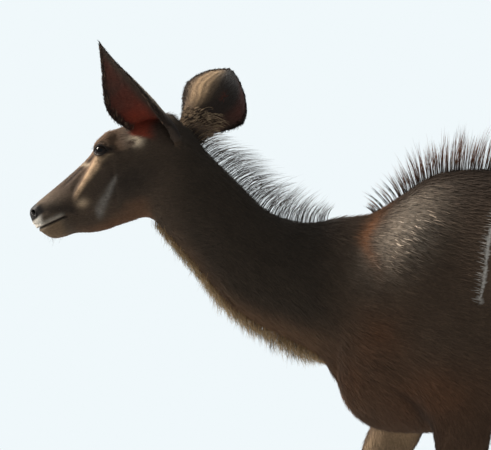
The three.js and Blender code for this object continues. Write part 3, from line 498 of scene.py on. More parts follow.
def refine(points, faces, wanted):
    """Splits the edges whose middle is wanted finer, and the triangles beside them to match."""
    edges, of_face = edges_of(faces)
    middle = points[edges].mean(1)
    marked = wanted(middle)
    fresh = np.full(len(edges), -1)
    fresh[marked] = len(points) + np.arange(marked.sum())
    m = fresh[of_face]
    count = (m >= 0).sum(1)
    out = [faces[count == 0]]

    def split(pick, turn, triangles):
        corners = np.concatenate([faces[pick][:, turn], m[pick][:, turn]], 1)
        out.extend(corners[:, list(triangle)] for triangle in triangles)

    # in each triangle 0 to 2 are its corners, and 3 to 5 the middles of its edges
    for k in range(3):
        turn = [k, (k + 1) % 3, (k + 2) % 3]
        split((count == 1) & (m[:, k] >= 0), turn, ((0, 3, 2), (3, 1, 2)))
        split((count == 2) & (m[:, (k + 2) % 3] < 0), turn, ((3, 1, 4), (0, 3, 4), (0, 4, 2)))
    split(count == 3, [0, 1, 2], ((0, 3, 5), (3, 1, 4), (5, 4, 2), (3, 4, 5)))
    return np.concatenate([points, middle[marked]]), np.concatenate(out)


def normals_of(points, faces):
    a, b, c = (points[faces[:, k]] for k in range(3))
    face = np.cross(b - a, c - a)
    out = np.zeros_like(points)
    for k in range(3):
        for axis in range(3):
            out[:, axis] += np.bincount(faces[:, k], face[:, axis], len(points))
    return unit(out)


def eye_frame(side):
    """The frame of an eye: out along the gaze, forwards along the lids, and up across them."""
    out = unit(SIDE * side + HEAD_ALONG * 0.24 + HEAD_UP * 0.3)
    forward = unit(HEAD_ALONG - out * (HEAD_ALONG @ out))
    rise = unit(HEAD_UP - out * (HEAD_UP @ out) - forward * (HEAD_UP @ forward))
    turned = unit(forward + rise * 0.35)
    return out, turned, unit(rise - turned * (rise @ turned))


def lid_gap(p, side):
    """Distance outside the almond between the lids, and the point from the eye: along, above and in all."""
    out, forward, rise = eye_frame(side)
    q = p - EYES[side]
    a, b, c = q @ forward, q @ rise, q @ out
    half = LID_LENGTH / 2
    edge = np.where(b > 0, LID_TOP, LID_BOTTOM) * np.clip(1 - (a / half) ** 2, 0, 1)
    gap = np.where(np.abs(a) < half, (np.abs(b) - edge) * 0.85, np.hypot(np.abs(a) - half, b))
    return np.where(c > 0, gap, 60.0), a, b, q


def nostril_frame(side):
    """The middle of a nostril on the skin, and its frame: out, along and across."""
    out = unit(SIDE * side + HEAD_ALONG * 0.8)
    start = head_point(274, side * 5, 5)
    skin = cast(flesh, start, out, far=60, step=1.5)[0]
    long = unit(HEAD_ALONG + HEAD_UP * 0.9)
    long = unit(long - out * (long @ out))
    return start + out * skin, out, long, np.cross(out, long)


NOSTRILS = {side: nostril_frame(side) for side in (-1, 1)}


def nostril_ring(p, side):
    """How far points are from the middle of a nostril, 1 on its rim, and the way out of it."""
    centre, out, long, across = NOSTRILS[side]
    q = p - centre
    a, b = q @ long, q @ across
    b = b + 0.03 * side * a * a
    ring = np.hypot(a / NOSTRIL_LENGTH, b / NOSTRIL_WIDTH)
    return np.where(np.abs(q @ out) < 16, ring, 9.0), out


def mouth_line(local):
    """Height over the line between the lips, and how much a point belongs to the mouth."""
    s, h = local[:, 0], local[:, 2]
    line = MOUTH_LEVEL - 1.2 + 2.6 * smoothstep(285, 226, s)
    return h - line, smoothstep(223, 231, s)


def highlight_strip_gap(s, h):
    """Height over the middle of the painted highlight strip along the facial crest, from under the eye down
    the face.
    """
    return h - (59 - 0.72 * (s - 116))


def bridge_line(s):
    """Height of the groove along the upper edge of the highlight strip, where a dark line of shade is
    painted.
    """
    return 65 - 0.43 * (s - 136)


def face_folds(local):
    """Height of the crests and hollows of the side of the face, in millimetres."""
    s, y, h = local.T
    strip = highlight_strip_gap(s, h)
    along = span(s, 104, 122, 184, 208)
    jaw = bump(s - 96 + 0.235 * (h - 38), 0, 5)
    lid = 0.1 * (s - 60)
    corner = s + 0.35 * (h + 30)
    folds = sum((
        2.2 * bump(strip, 0, 8) * along,
        -2.0 * bump(strip, 16, 7) * along,
        -1.6 * bump(h, bridge_line(s), 3.4) * smoothstep(120, 134, s) * smoothstep(224, 196, s),
        -2.4 * blot((s - 158) / 24, (h - 6 + 0.4 * (s - 158)) / 12),
        -1.6 * blot((s - 205) / 9, (h + 14) / 10),
        -1.9 * jaw * smoothstep(46, 30, h) * smoothstep(-58, -40, h),
        1.5 * bump(h - 56 - lid, 0, 7) * smoothstep(18, 34, s) * smoothstep(92, 78, s),
        -1.6 * bump(h - 40 - lid, 0, 7) * smoothstep(18, 34, s) * smoothstep(98, 84, s),
        -1.8 * bump(corner, 224, 3.2) * bump(h, -30, 11),
        1.0 * bump(corner, 217, 5) * bump(h, -30, 13),
    ))
    return folds * smoothstep(12, 24, np.abs(y)) * (s > 0)


def relief(p, n):
    """Lids, nostrils, lips and folds pressed into the skin of the head."""
    p = p.copy()
    local = head_local(p)
    over, mouth = mouth_line(local)
    lips = 1.3 * bump(np.abs(over), 4.6, 2.6) - 5.2 * bump(over, 0, 1.7) - 0.8 * bump(over, 10.5, 3)
    s, y, h = local.T
    lips = lips - 1.0 * bump(y, 0, 1.3) * smoothstep(286, 292, s) * bump(h, -14, 12)
    p += n * (lips * mouth + face_folds(local) - 5 * elbow_fold(p))[:, None]
    for side in (-1, 1):
        ring, out = nostril_ring(p, side)
        lift = 0.9 * bump(ring, 1.5, 0.35) - 8.0 * smoothstep(1.1, 0.45, ring)
        p += out * lift[:, None]
        gap, _, b, q = lid_gap(p, side)
        near = gap < 26
        r = np.linalg.norm(q, axis=1)
        swell = 0.9 * bump(gap, 1.7, 1.5)
        swell = swell - np.where(b > 0, 1.5, 0.7) * bump(gap, 7.6, 1.7)
        swell = swell + np.where(b > 0, 1.5, 0.5) * bump(gap, 12, 3.6)
        size = r + np.where(near, swell, 0)
        sunk = smoothstep(0.7, -1.0, gap)
        size = size * (1 - sunk) + 13.2 * sunk
        p = np.where(near[:, None], EYES[side] + q * (size / np.maximum(r, 1e-6))[:, None], p)
    return p


# Ears: a leaf curled into a cup, with a pointed tip. Each row gives, at a share of the length:
# half width, curl in degrees, bend, how deep the cup is for its width, and how far it lies to the front
EAR_ROWS = curve_rows([
    (-0.14, 36, 140, 0, 0.62, 0), (0, 40, 126, 0, 0.66, 0), (0.08, 43, 112, 2, 0.72, 0),
    (0.16, 48, 102, 5, 0.8, 5), (0.24, 53, 95, 7, 0.86, 12), (0.32, 58, 88, 7, 0.9, 18),
    (0.42, 57, 80, 6, 0.92, 19), (0.53, 49, 72, 3, 0.92, 16), (0.64, 38, 63, 0, 0.92, 13),
    (0.77, 22, 52, -3, 0.92, 10), (0.9, 8, 40, -5, 0.92, 6), (1, 1.2, 20, -6, 0.92, 0),
])
EARS = {}
for ear_name, root, tip, look, lobe, opening, arch, stem in (
    ("left", (-688, -50, 1306), (-817, -150, 1512), (-0.6, -0.75, -0.15), 1, 1.0, 0, 0),
    ("right", (-636, 47, 1306), (-540, 206, 1463), (-0.38, 0.72, -0.55), 0.55, 1.3, -60, 0.3),
):
    ear_along = unit(np.subtract(tip, root))
    ear_face = unit(np.array(look) - ear_along * (np.array(look) @ ear_along))
    EARS[ear_name] = {
        "root": np.array(root, float),
        "along": ear_along,
        "face": ear_face,
        "across": np.cross(ear_along, ear_face),
        "lobe": lobe,
        "open": opening,
        "arch": arch,
        "stem": stem,
        "length": float(np.linalg.norm(np.subtract(tip, root))),
    }


def ear_row(ear, u):
    """An ear's values at a share of its length, with how slim its stem is and how far it is opened."""
    half, curl, bend, flat, shift = EAR_ROWS(u).T
    slim = 1 - ear["stem"] * smoothstep(0.3, 0.05, u)
    opened = 1 + (ear["open"] - 1) * smoothstep(0.15, 0.45, u)
    return half, slim, opened, curl, bend, flat, shift * ear["lobe"]


def ear_point(ear, u, v, w):
    """A point of the ear's wall: u along it, v across it from -1 to 1, w from the outside to the inside."""
    half, slim, opened, curl, bend, flat, shift = ear_row(ear, u)
    angle = np.radians(curl / opened)
    radius = half * slim * opened / np.sin(np.minimum(angle, math.pi / 2))
    wall = (EAR_WALL - 1.2) * (1 - 0.7 * np.abs(v) ** 3) * (1 - 0.72 * np.clip(u, 0, 1))
    r = np.maximum(radius + (w - 0.5) * -wall, 0.3)
    turn = angle * v
    deep = radius * np.cos(angle)
    p = ear["root"] + np.multiply.outer(u * ear["length"], ear["along"])
    p = p + (r * np.sin(turn) - shift)[:, None] * ear["across"]
    facing = -(r * np.cos(turn) - deep) * flat + bend + ear["arch"] * 4 * u * (1 - u)
    return p + facing[:, None] * ear["face"]


def ear_shell(ear, lengthwise=56, crosswise=30):
    """The closed wall of one ear."""
    u = np.linspace(-0.14, 1, lengthwise + 1)
    v = np.linspace(-1, 1, crosswise + 1)
    rings = []
    for at in u:
        level = np.full(len(v), at)
        rings.append(np.concatenate([ear_point(ear, level, v, 0), ear_point(ear, level, v[::-1], 1)]))
    return closed_loft(np.array(rings))


def closed_loft(rings):
    """Rings of points joined into one closed body with a fan at each end, its faces outwards."""
    count, around = rings.shape[:2]
    ends = rings[0].mean(0)[None], rings[-1].mean(0)[None]
    points = np.concatenate([rings.reshape(-1, 3), *ends])
    i, j = np.meshgrid(np.arange(count - 1), np.arange(around), indexing="ij")
    a = (i * around + j).ravel()
    b = (i * around + (j + 1) % around).ravel()
    c, d = a + around, b + around
    k = np.arange(around)
    last = (count - 1) * around
    first_cap = np.stack([np.full(around, count * around), (k + 1) % around, k], 1)
    end_cap = np.stack([np.full(around, count * around + 1), last + k, last + (k + 1) % around], 1)
    faces = np.concatenate([np.stack([a, b, d], 1), np.stack([a, d, c], 1), first_cap, end_cap])
    p = points[faces]
    if np.einsum("ij,ij->", p[:, 0], np.cross(p[:, 1], p[:, 2])) < 0:
        faces = faces[:, ::-1]
    return points, faces


def merge(shells):
    points, faces, start = [], [], 0
    for p, f in shells:
        points.append(p)
        faces.append(f + start)
        start += len(p)
    return np.concatenate(points), np.concatenate(faces)


# Making Blender objects
def new_mesh(name, points, faces, smooth=True):
    mesh = bpy.data.meshes.new(name)
    mesh.vertices.add(len(points))
    mesh.vertices.foreach_set("co", np.asarray(points, np.float32).ravel())
    faces = np.asarray(faces, np.int32)
    mesh.loops.add(faces.size)
    mesh.loops.foreach_set("vertex_index", faces.ravel())
    mesh.polygons.add(len(faces))
    mesh.polygons.foreach_set("loop_start", np.arange(0, faces.size, faces.shape[1], dtype=np.int32))
    mesh.polygons.foreach_set("use_smooth", np.full(len(faces), smooth))
    mesh.update(calc_edges=True)
    mesh.validate()
    return mesh


def new_object(name, points, faces, smooth=True):
    made = bpy.data.objects.new(name, new_mesh(name, points, faces, smooth))
    bpy.context.scene.collection.objects.link(made)
    return made


def paint(mesh, name, colours):
    layer = mesh.color_attributes.new(name, "FLOAT_COLOR", "POINT")
    full = np.ones((len(mesh.vertices), 4), np.float32)
    full[:, :3] = colours
    layer.data.foreach_set("color", full.ravel())


def finish_piece(made, slot, *nodes):
    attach(made, "root")
    if nodes:
        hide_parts(*nodes)


def linear(colour):
    """A colour given from 0 to 255, as light."""
    c = np.asarray(colour, float) / 255
    return np.where(c <= 0.04045, c / 12.92, ((c + 0.055) / 1.055) ** 2.4)


# Markings, with painted light and shade among them, shared by the skin and the coat
# Each stripe: its place, slant, lower and upper end, and half width
STRIPES = [
    (24, 0.226, 960, 1190, 3.4), (138, 0.2, 868, 1228, 4.2), (252, 0.17, 838, 1226, 5),
    (362, 0.13, 846, 1222, 4.4), (470, 0.08, 870, 1226, 5), (572, 0.02, 905, 1232, 4.4),
    (664, -0.05, 940, 1236, 4.8), (744, -0.12, 985, 1225, 4),
]


def stripe_gap(p):
    """The distance from the middle of the nearest flank stripe, over its half width, with its fading."""
    best = np.full(len(p), 9.0)
    side = np.sign(p[:, 1])
    for k, (x, slant, low, high, half) in enumerate(STRIPES):
        z = p[:, 2]
        wave = 5 * np.sin(z / 61 + k * 1.7 + side * 0.8) + 1.6 * np.sin(z / 23 + k * 2.9 - side)
        middle = x + slant * (z - 1111) + wave + side * 5 * math.sin(k * 2.3)
        taper = smoothstep(low - 25, low + 60, z) * smoothstep(high + 30, high - 40, z)
        ragged = 1 + 0.16 * np.sin(z / 17 + k * 4.1) + 0.1 * np.sin(z / 7.3 + k)
        width = half * (0.35 + 0.65 * taper) * ragged
        gap = np.abs(p[:, 0] - middle) / width
        best = np.minimum(best, gap + 3 * (1 - smoothstep(0, 0.25, taper)))
    return np.where(np.abs(p[:, 1]) > 14, best, 9.0)


def mottle(p, scale, seed=0):
    """Soft, repeatable cloudiness between -1 and 1."""
    turn = np.array([[0.36, 0.48, -0.8], [-0.8, 0.6, 0.0], [0.48, 0.64, 0.6]])
    total = np.zeros(len(p))
    q = p / scale + seed * 7.3
    for k in range(3):
        total += np.sin(q[:, 0] * 1.1 + 1.7 * np.sin(q[:, 1] * 0.9 + k)) * np.cos(q[:, 2] + 1.3 * k) / (1 + k)
        q = q @ turn * 1.9
    return np.clip(total / 1.5, -1, 1)


def blend(colour, other, weight):
    return colour + (linear(other) - colour) * np.clip(weight, 0, 1)[:, None]


def layered(base, layers):
    """A colour under layers, each a given colour and how much of each point it covers."""
    colour = np.broadcast_to(np.array(base), (len(layers[0][1]), 3)).copy()
    for hue, weight in layers:
        colour = blend(colour, hue, weight)
    return colour


FOLD_LINE = curve_rows([(600, -116), (650, -111), (700, -119), (735, -136), (778, -190), (790, -214)])


def elbow_fold(p):
    """How much a point lies in the fold where the skin of the chest meets the foreleg."""
    x, y, z = p.T
    fold = bump(x, FOLD_LINE(z)[:, 0], 15) * smoothstep(596, 660, z) * smoothstep(792, 752, z)
    return fold * smoothstep(45, 75, np.abs(y))


def blade_sheen_part(p):
    """How much a point lies on the middle of the shoulder blade, where a silvery sheen of the hair is
    painted.
    """
    x, y, z = p.T
    return blot((x + 172 - 0.42 * (z - 1092)) / 70, (z - 1120) / 96) * (np.abs(y) > 30)


# the front edge of the shoulder blade, along which the fur's own tawny is brightened as painted light
BLADE_LIT_EDGE = curve_rows(
    [(980, -205), (1047, -226), (1094, -245), (1140, -222), (1180, -193), (1240, -150)]
)


def body_marks_and_light(p, n):
    """Colour of the body's coat at points of the skin."""
    x, y, z = p.T
    ahead, down = -n[:, 0], -n[:, 2]
    neck_part = smoothstep(-250, -370, x)
    limb = smoothstep(650, 480, z)
    inner = np.zeros(len(p))
    for leg in LEGS.values():
        offset = leg["look"](np.clip(z, 60, 850))[:, 6]
        facing = smoothstep(0.2, 0.8, -n[:, 1] * leg["side"]) * (np.abs(y) < np.abs(offset))
        inner = np.maximum(inner, facing * (np.sign(y) == leg["side"]))
    tail = smoothstep(938, 976, x) * smoothstep(1178, 1080, z)
    back = smoothstep(-0.1, 0.5, n[:, 0] + np.maximum(n[:, 2], 0))
    layers = [
        ((54, 43, 35), 0.8 * smoothstep(1080, 1235, z) * (x > -330)),
        # darker brown low on the body and the upper legs: partly their own warm brown, deepened as painted
        # shade
        ((74, 55, 42), smoothstep(900, 740, z) * smoothstep(-330, -200, x)),
        ((55, 46, 38), neck_part),
        ((98, 72, 52), 0.75 * smoothstep(0.25, 0.85, down) * neck_part),
        # painted sheen: the middle of the shoulder blade silvery, and in front of it a narrow warm crescent,
        # the fur's own tawny brightened as painted light
        ((176, 163, 147), 0.66 * blade_sheen_part(p) * (0.6 + 0.4 * mottle(p, 3.4, 6))),
        ((144, 92, 58), 0.85 * bump(x, BLADE_LIT_EDGE(z)[:, 0] - 4, 13) * bump(z, 1122, 66)),
    ]
    # warm brown on the chest, low on the shoulder and above the elbow
    for place, width, height, depth in ((-288, 48, 776, 74), (-221, 58, 884, 62), (-112, 84, 762, 56)):
        warm = bump(x, place, width) * bump(z, height, depth) * (0.75 + 0.25 * mottle(p, 15, 9))
        layers.append(((98, 64, 43), 0.7 * warm))
    layers += [
        ((112, 82, 59), 0.6 * bump(x, -236, 44) * bump(z, 1176, 42)),
        # painted shade in the fold between the chest and the foreleg
        ((38, 30, 25), 0.6 * elbow_fold(p)),
        # belly and rump
        ((176, 158, 134), 0.8 * smoothstep(0.45, 0.95, down) * smoothstep(-70, 70, x) * (z > 620)),
        ((150, 124, 98), 0.5 * smoothstep(880, 950, x) * smoothstep(780, 900, z)),
        # legs: fawn, pale inside above, dark about the coronet, with a dark garter on the forelegs
        ((134, 103, 76), limb),
        ((166, 141, 112), 0.7 * inner * span(z, 420, 600, 660, 740)),
        ((120, 92, 70), 0.45 * limb * smoothstep(0.3, 0.9, ahead) * bump(z, 400, 70)),
        ((54, 42, 34), 0.8 * smoothstep(80, 64, z)),
        ((196, 178, 152), 0.7 * bump(z, 96, 14) * smoothstep(0.1, 0.8, ahead)),
        ((46, 38, 33), 0.85 * bump(z, 590, 34) * inner * (x < 300)),
        ((186, 181, 175), 0.86 * smoothstep(1.25, 0.75, stripe_gap(p) + 0.2 * mottle(p, 6, 3))),
        # tail: pale underneath, brown along its back, with a black tuft
        ((206, 194, 178), tail * (1 - back)),
        ((96, 77, 61), tail * back),
        ((38, 31, 27), tail * smoothstep(870, 815, z)),
    ]
    shade = 1 + 0.09 * mottle(p, 60, 1) + 0.06 * mottle(p, 17, 2)
    return layered(bpy.context.scene.kudu_coat.flank_colour, layers) * shade[:, None]


def head_marks_and_light(p, n):
    """Colour of the head's coat and bare skin at points of the skin, and how bare it is."""
    local = head_local(p)
    s, y, h = local.T
    wide = np.abs(y)
    rise = n @ HEAD_UP
    top = smoothstep(0.1, 0.75, rise)
    # the painted highlight strip along the facial crest, and the grey streak down the cheek
    width = 13 - 6 * smoothstep(118, 180, s)
    strip = np.exp(-((highlight_strip_gap(s, h) / width) ** 4)) * span(s, 106, 122, 176, 204) * smoothstep(12, 26, wide)
    chevron = bump(s - 0.85 * (34 - wide), 136, 5) * smoothstep(34, 26, wide) * smoothstep(5, 12, wide)
    t = (s - 95) / 68
    streak = bump((h - 10 + 0.897 * (s - 95)) / (5 + 10 * np.clip(t, 0, 1)), 0, 1)
    streak = streak * span(t, -0.12, 0.2, 0.92, 1.14) * smoothstep(24, 34, wide)
    # the lips, the nose pad and the line between the lips
    over, mouth = mouth_line(local)
    # a band along the lower side of the muzzle, where shadow is painted
    low = bump(h + 9 - 0.5 * (s - 232), 0, 14) * span(s, 194, 212, 256, 274)
    lip = smoothstep(270, 283, s + 0.15 * h) * smoothstep(-1, -8, h) * smoothstep(-1, 2, over)
    chin = smoothstep(232, 250, s) * smoothstep(1, -3, over)
    pad = smoothstep(278, 284, s + 0.2 * h) * smoothstep(34, 28, wide) * smoothstep(-10, -6, h)
    wing = smoothstep(258, 272, s - 0.3 * h) * smoothstep(-10, -4, h + 0.35 * (s - 280))
    pad = np.maximum(pad, wing * smoothstep(19, 12, h) * smoothstep(5, 12, wide))
    bridge = bump(h, bridge_line(s), 3.2) * span(s, 120, 132, 190, 222) * smoothstep(10, 22, wide)
    tuft = bump(s, 27, 13) * bump(h, 70, 14) * smoothstep(35, 48, wide)
    seam = bump(over, 0, 2.7) * mouth
    layers = [
        # painted light on the surfaces that face up: lighter on the forehead, a little lighter along the top
        # of the nose
        ((108, 83, 63), 0.75 * top * span(s, 20, 90, 120, 200)),
        ((74, 58, 47), 0.6 * top * span(s, 150, 215, 240, 285)),
        ((46, 39, 34), 0.8 * bump(s, 80, 70) * bump(h, -10, 42) * smoothstep(20, 40, wide)),
        # painted highlight along the facial crest
        ((198, 167, 134), 0.92 * strip * (0.75 + 0.25 * mottle(p, 5, 8))),
        # painted shade in the groove along the bridge of the nose
        ((42, 32, 27), 0.85 * bridge),
        ((186, 168, 144), 0.65 * chevron * (h > 30)),
        ((136, 132, 127), 0.72 * streak * (0.75 + 0.25 * mottle(p, 5, 9))),
        # painted highlight on the end of the cheek muscle
        ((186, 162, 134), 0.75 * bump(s, 183, 11) * bump(h, -15, 9) * (wide > 18)),
        ((96, 66, 46), 0.75 * smoothstep(0.35, 0.85, -rise) * smoothstep(250, 140, s)),
        # pale fur before the ear's root
        ((232, 214, 186), 0.9 * tuft * smoothstep(-0.5, 0.2, mottle(p, 8, 7))),
        # muzzle: grey-brown, white at the front of the upper lip, black nose pad
        ((88, 77, 66), 0.7 * smoothstep(218, 244, s - 0.2 * (h + 20)) * (0.85 + 0.15 * mottle(p, 4, 12))),
        # painted shadow along the lower muzzle, under its top, and painted light on the muzzle's upper part
        ((40, 33, 29), 0.8 * low * smoothstep(12, 20, wide)),
        ((122, 106, 91), 0.55 * bump(s, 246, 40) * bump(h, 17, 15) * (0.8 + 0.2 * mottle(p, 4, 13))),
        ((170, 161, 149), 0.75 * smoothstep(224, 244, s) * bump(over, 5, 5)),
        ((214, 207, 197), 0.92 * lip),
        ((112, 93, 73), 0.75 * chin),
        ((168, 152, 132), 0.5 * chin * smoothstep(262, 284, s) * smoothstep(-12, -3, over)),
        ((24, 20, 19), pad),
        ((40, 30, 27), 0.9 * seam),
    ]
    bare = np.maximum(pad, seam)
    for side in (-1, 1):
        ring, _ = nostril_ring(p, side)
        gap, a, b, _ = lid_gap(p, side)
        close = gap < 40
        # where shade is painted about the eye: under the brow, low in front of it and in the corner behind it
        brow = (b > 0) * bump(gap, 6.5, 3.5) + bump(np.hypot((a - 22) / 2.2, b + 6), 0, 5) * close
        corner = smoothstep(1, 0.55, np.hypot((a + 19) / 15, (b + 1) / 9)) * close
        rim = smoothstep(4.6 + 0.05 * a, 3.0 + 0.05 * a, gap)
        duct = smoothstep(4.2, 2.0, np.hypot((a - 20.5) / 1.6, b + 1.2)) * close
        layers += [
            # inside each nostril, darker than the black nose pad: painted shade in the opening
            ((14, 11, 11), smoothstep(1.5, 1.1, ring)),
            # a pale ring round the eye, faint above and stronger below: painted highlight
            ((170, 146, 118), np.where(b > 0, 0.1, 0.35) * bump(gap, 9.5, 3.6)),
            # painted shade under the brow, low in front of the eye and in its corner behind
            ((48, 37, 31), 0.8 * brow),
            ((38, 29, 25), 0.8 * corner),
            ((26, 19, 16), np.maximum(rim, duct)),
        ]
        for naked in (smoothstep(1.5, 1.2, ring), smoothstep(3.0, 2.0, gap), duct):
            bare = np.maximum(bare, naked)
    shade = 1 + 0.08 * mottle(p, 24, 4) + 0.07 * mottle(p, 7, 5)
    return layered(bpy.context.scene.kudu_coat.face_colour, layers) * shade[:, None], bare


def ear_place(p):
    """For each point: which ear it is on, if any, how far along it and how far across."""
    on = np.zeros(len(p), int)
    along = np.zeros(len(p))
    across = np.zeros(len(p))
    for k, ear in enumerate(EARS.values(), 1):
        q = p - ear["root"]
        u = (q @ ear["along"]) / ear["length"]
        side = q @ ear["across"]
        close = (u > -0.05) & (u < 1.1) & (np.abs(side) < 95) & (np.abs(q @ ear["face"]) < 95)
        close &= p[:, 2] > EAR_FLOOR
        on = np.where(close, k, on)
        along = np.where(close, u, along)
        across = np.where(close, side, across)
    return on, along, across


def head_share(p, low, high):
    """How much a point belongs to the head, by how far along it the point lies."""
    share = smoothstep(low, high, head_local(p)[:, 0])
    return share * (p[:, 2] > HEAD_FLOOR) * (p[:, 0] < HEAD_BACK)


def leaf_share(outside):
    """How much a point belongs to an ear's leaf, by how far it is outside the flesh."""
    return smoothstep(1.5, 7, outside)


def in_cup(p, ear):
    """How much a point lies low in the ear's cup, inside its rim, and how far to the front."""
    d = p - ear["root"]
    u = (d @ ear["along"]) / ear["length"]
    half, slim, _, curl, bend, flat, shift = ear_row(ear, np.clip(u, -0.1, 1))
    half = half * slim
    q = d @ ear["across"] + shift
    facing = d @ ear["face"] - bend - ear["arch"] * 4 * u * (1 - u)
    floor = -(np.sqrt(np.maximum(half**2 - q**2, 0)) - half * np.cos(np.radians(curl))) * flat
    inside = smoothstep(-8, -1, facing - floor) * smoothstep(16, 6, facing)
    inside = inside * span(u, -0.06, 0.1, 0.4, 0.5) * smoothstep(1.0, 0.85, np.abs(q) / half)
    return inside * (p[:, 2] > EAR_FLOOR), smoothstep(0.15, -0.4, q / half)


def ear_marks_and_light(p, n, on, u):
    """Colour of the ears: backs in their own dark grey-brown deepened as painted shade, with a tan band of
    painted light; inside, painted shade with a red glow of light through the thin skin; and a thin dark rim.
    """
    layers = []
    bare = np.zeros(len(p))
    for k, ear in enumerate(EARS.values(), 1):
        mine = on == k
        inner = smoothstep(-0.05, 0.25, n @ ear["face"]) * mine
        back = (1 - inner) * mine
        half, _, opened, *_, shift = ear_row(ear, np.clip(u, -0.1, 1))
        place = ((p - ear["root"]) @ ear["across"] + shift) / (half * opened + 1)
        edge = np.abs(place)
        cloud = mottle(p, 22, 5)
        ridges = 0.75 + 0.25 * np.sin(place * 34 + 2 * mottle(p, 20, 3))
        # the band across the back of the ear is painted light
        band = bump(place, 0.62, 0.27) * span(u, 0.1, 0.3, 0.66, 0.88)
        # warm and glow are painted light shining through the thin ear: on the edge of its back and inside
        warm = smoothstep(-0.4, -0.75, place) * bump(u, 0.48, 0.34) * (0.6 + 0.4 * cloud)
        glow = smoothstep(0.2, -0.4, place) * smoothstep(0.98, 0.7, u) * (0.62 + 0.38 * cloud)
        layers += [
            # painted light: the tan band across the back
            ((198, 166, 130), 0.9 * back * band * ridges),
            # painted light through the ear's edge, seen on its back
            ((104, 54, 44), 0.7 * back * warm),
            # inside the ear: painted shade, with a red glow of light through the thin skin painted over it
            ((64, 53, 46), inner),
            ((92, 44, 35), 0.85 * inner * glow),
            ((150, 56, 34), 0.8 * inner * glow * bump(u, 0.2, 0.13)),
            ((42, 33, 29), 0.85 * smoothstep(0.88, 0.97, edge) * smoothstep(0.06, 0.24, u) * mine),
            ((42, 33, 29), 0.75 * smoothstep(0.86, 0.98, u) * mine),
        ]
        bare = np.maximum(bare, 0.45 * inner)
    # under it all, the ears' own dark grey-brown, deepened as painted shade
    return layered(linear((46, 38, 34)), layers), bare


def marks(p, n, outside):
    """Colour and bareness at points of the skin, given how far they are outside the flesh."""
    colour = body_marks_and_light(p, n)
    bare = np.zeros(len(p))

    def lay(weight, part):
        close = weight > 0
        if close.any():
            w = weight[close]
            hue, naked = part(close)
            colour[close] = colour[close] * (1 - w[:, None]) + hue * w[:, None]
            bare[close] = np.maximum(bare[close] * (1 - w), naked * w)

    s = head_local(p)[:, 0]
    at_head = smoothstep(-75, 5, s + 0.35 * (p[:, 2] - 1255)) * (p[:, 0] < HEAD_BACK)
    lay(at_head, lambda close: head_marks_and_light(p[close], n[close]))
    on, u, _ = ear_place(p)
    for ear in EARS.values():
        # low in each ear's cup: painted shade, and towards its front a red glow of light shining through the
        # thin skin
        cup, front = in_cup(p, ear)
        colour = blend(colour, (66, 53, 45), 0.9 * cup)
        colour = blend(colour, (134, 54, 36), 0.9 * cup * front)
    lay(leaf_share(outside) * (on > 0), lambda close: ear_marks_and_light(p[close], n[close], on[close], u[close]))
    return np.clip(colour, 0.002, 0.9), bare


def lie(p, n, outside):
    """The direction in which the coat lies."""
    way = np.broadcast_to(np.array([1.0, 0, -0.42]), p.shape).copy()
    turns = (
        (smoothstep(-250, -330, p[:, 0]), np.array([0.8, 0, -0.75])),
        (smoothstep(860, 640, p[:, 2]), np.array([0.12, 0, -1.0])),
        (head_share(p, -110, 10), np.array([0, 0, -0.25]) - HEAD_ALONG),
    )
    for share, other in turns:
        way = way * (1 - share)[:, None] + other * share[:, None]
    on, _, _ = ear_place(p)
    for k, ear in enumerate(EARS.values(), 1):
        w = ((on == k) * leaf_share(outside))[:, None]
        way = way * (1 - w) + ear["along"] * w
    return unit(way - n * (way * n).sum(1)[:, None])


SKIN = {}


def build_skin():
    """One skin over the whole animal, finer towards the face, ready for the ears to be joined in."""
    points, faces = surface_net(hide, *SKIN_BOX, SKIN_CELL)
    for _ in range(3):
        points = settle(hide, relax(points, faces), 1)

    def near_head(p):
        s = head_local(p)[:, 0]
        striped = (stripe_gap(p) < 1.8) & (p[:, 2] > 830)
        return ((s > -40) & (p[:, 2] > HEAD_FLOOR)) | striped

    def near_face(p):
        return (head_local(p)[:, 0] > 60) & (p[:, 2] > 1000)

    def fine(p):
        local = head_local(p)
        over, mouth = mouth_line(local)
        out = (np.abs(over) < 7) & (mouth > 0.3)
        for side in (-1, 1):
            out |= (nostril_ring(p, side)[0] < 2.2) | (lid_gap(p, side)[0] < 13)
        return out

    for wanted in (near_head, near_face, fine):
        points, faces = refine(points, faces, wanted)
        points = settle(hide, points, 1)
    face_part = head_local(points)[:, 0] > 40
    smoothed = relax(points, faces, 2, 0.4, face_part.astype(float))
    points = np.where(face_part[:, None], settle(hide, smoothed, 1), points)
    return relief(points, unit(slope_of(hide, points))), faces


def join_ears(points, faces):
    """The skin with the ears' walls joined in and the seam about their roots smoothed."""
    body = new_object("hide", points, faces)
    parts = [body]
    for name, ear in EARS.items():
        shell = new_object("ear_wall_" + name, *ear_shell(ear))
        cut = body.modifiers.new("join_" + name, "BOOLEAN")
        cut.operation, cut.solver, cut.object = "UNION", "MANIFOLD", shell
        parts.append(shell)
    whole = bpy.data.meshes.new_from_object(body.evaluated_get(bpy.context.evaluated_depsgraph_get()))
    count = len(whole.vertices)
    joined = np.zeros((count, 3))
    whole.vertices.foreach_get("co", joined.ravel())
    whole.calc_loop_triangles()
    triangles = np.zeros((len(whole.loop_triangles), 3), np.int32)
    whole.loop_triangles.foreach_get("vertices", triangles.ravel())
    for mesh in [made.data for made in parts] + [whole]:
        bpy.data.meshes.remove(mesh)
    near_root = np.zeros(count, bool)
    for ear in EARS.values():
        near_root |= np.linalg.norm(joined - ear["root"] - ear["along"] * 14, axis=1) < 62
    seam = near_root * smoothstep(16, 4, np.abs(hide(joined)))
    return relax(joined, triangles, 6, 0.6, seam), triangles


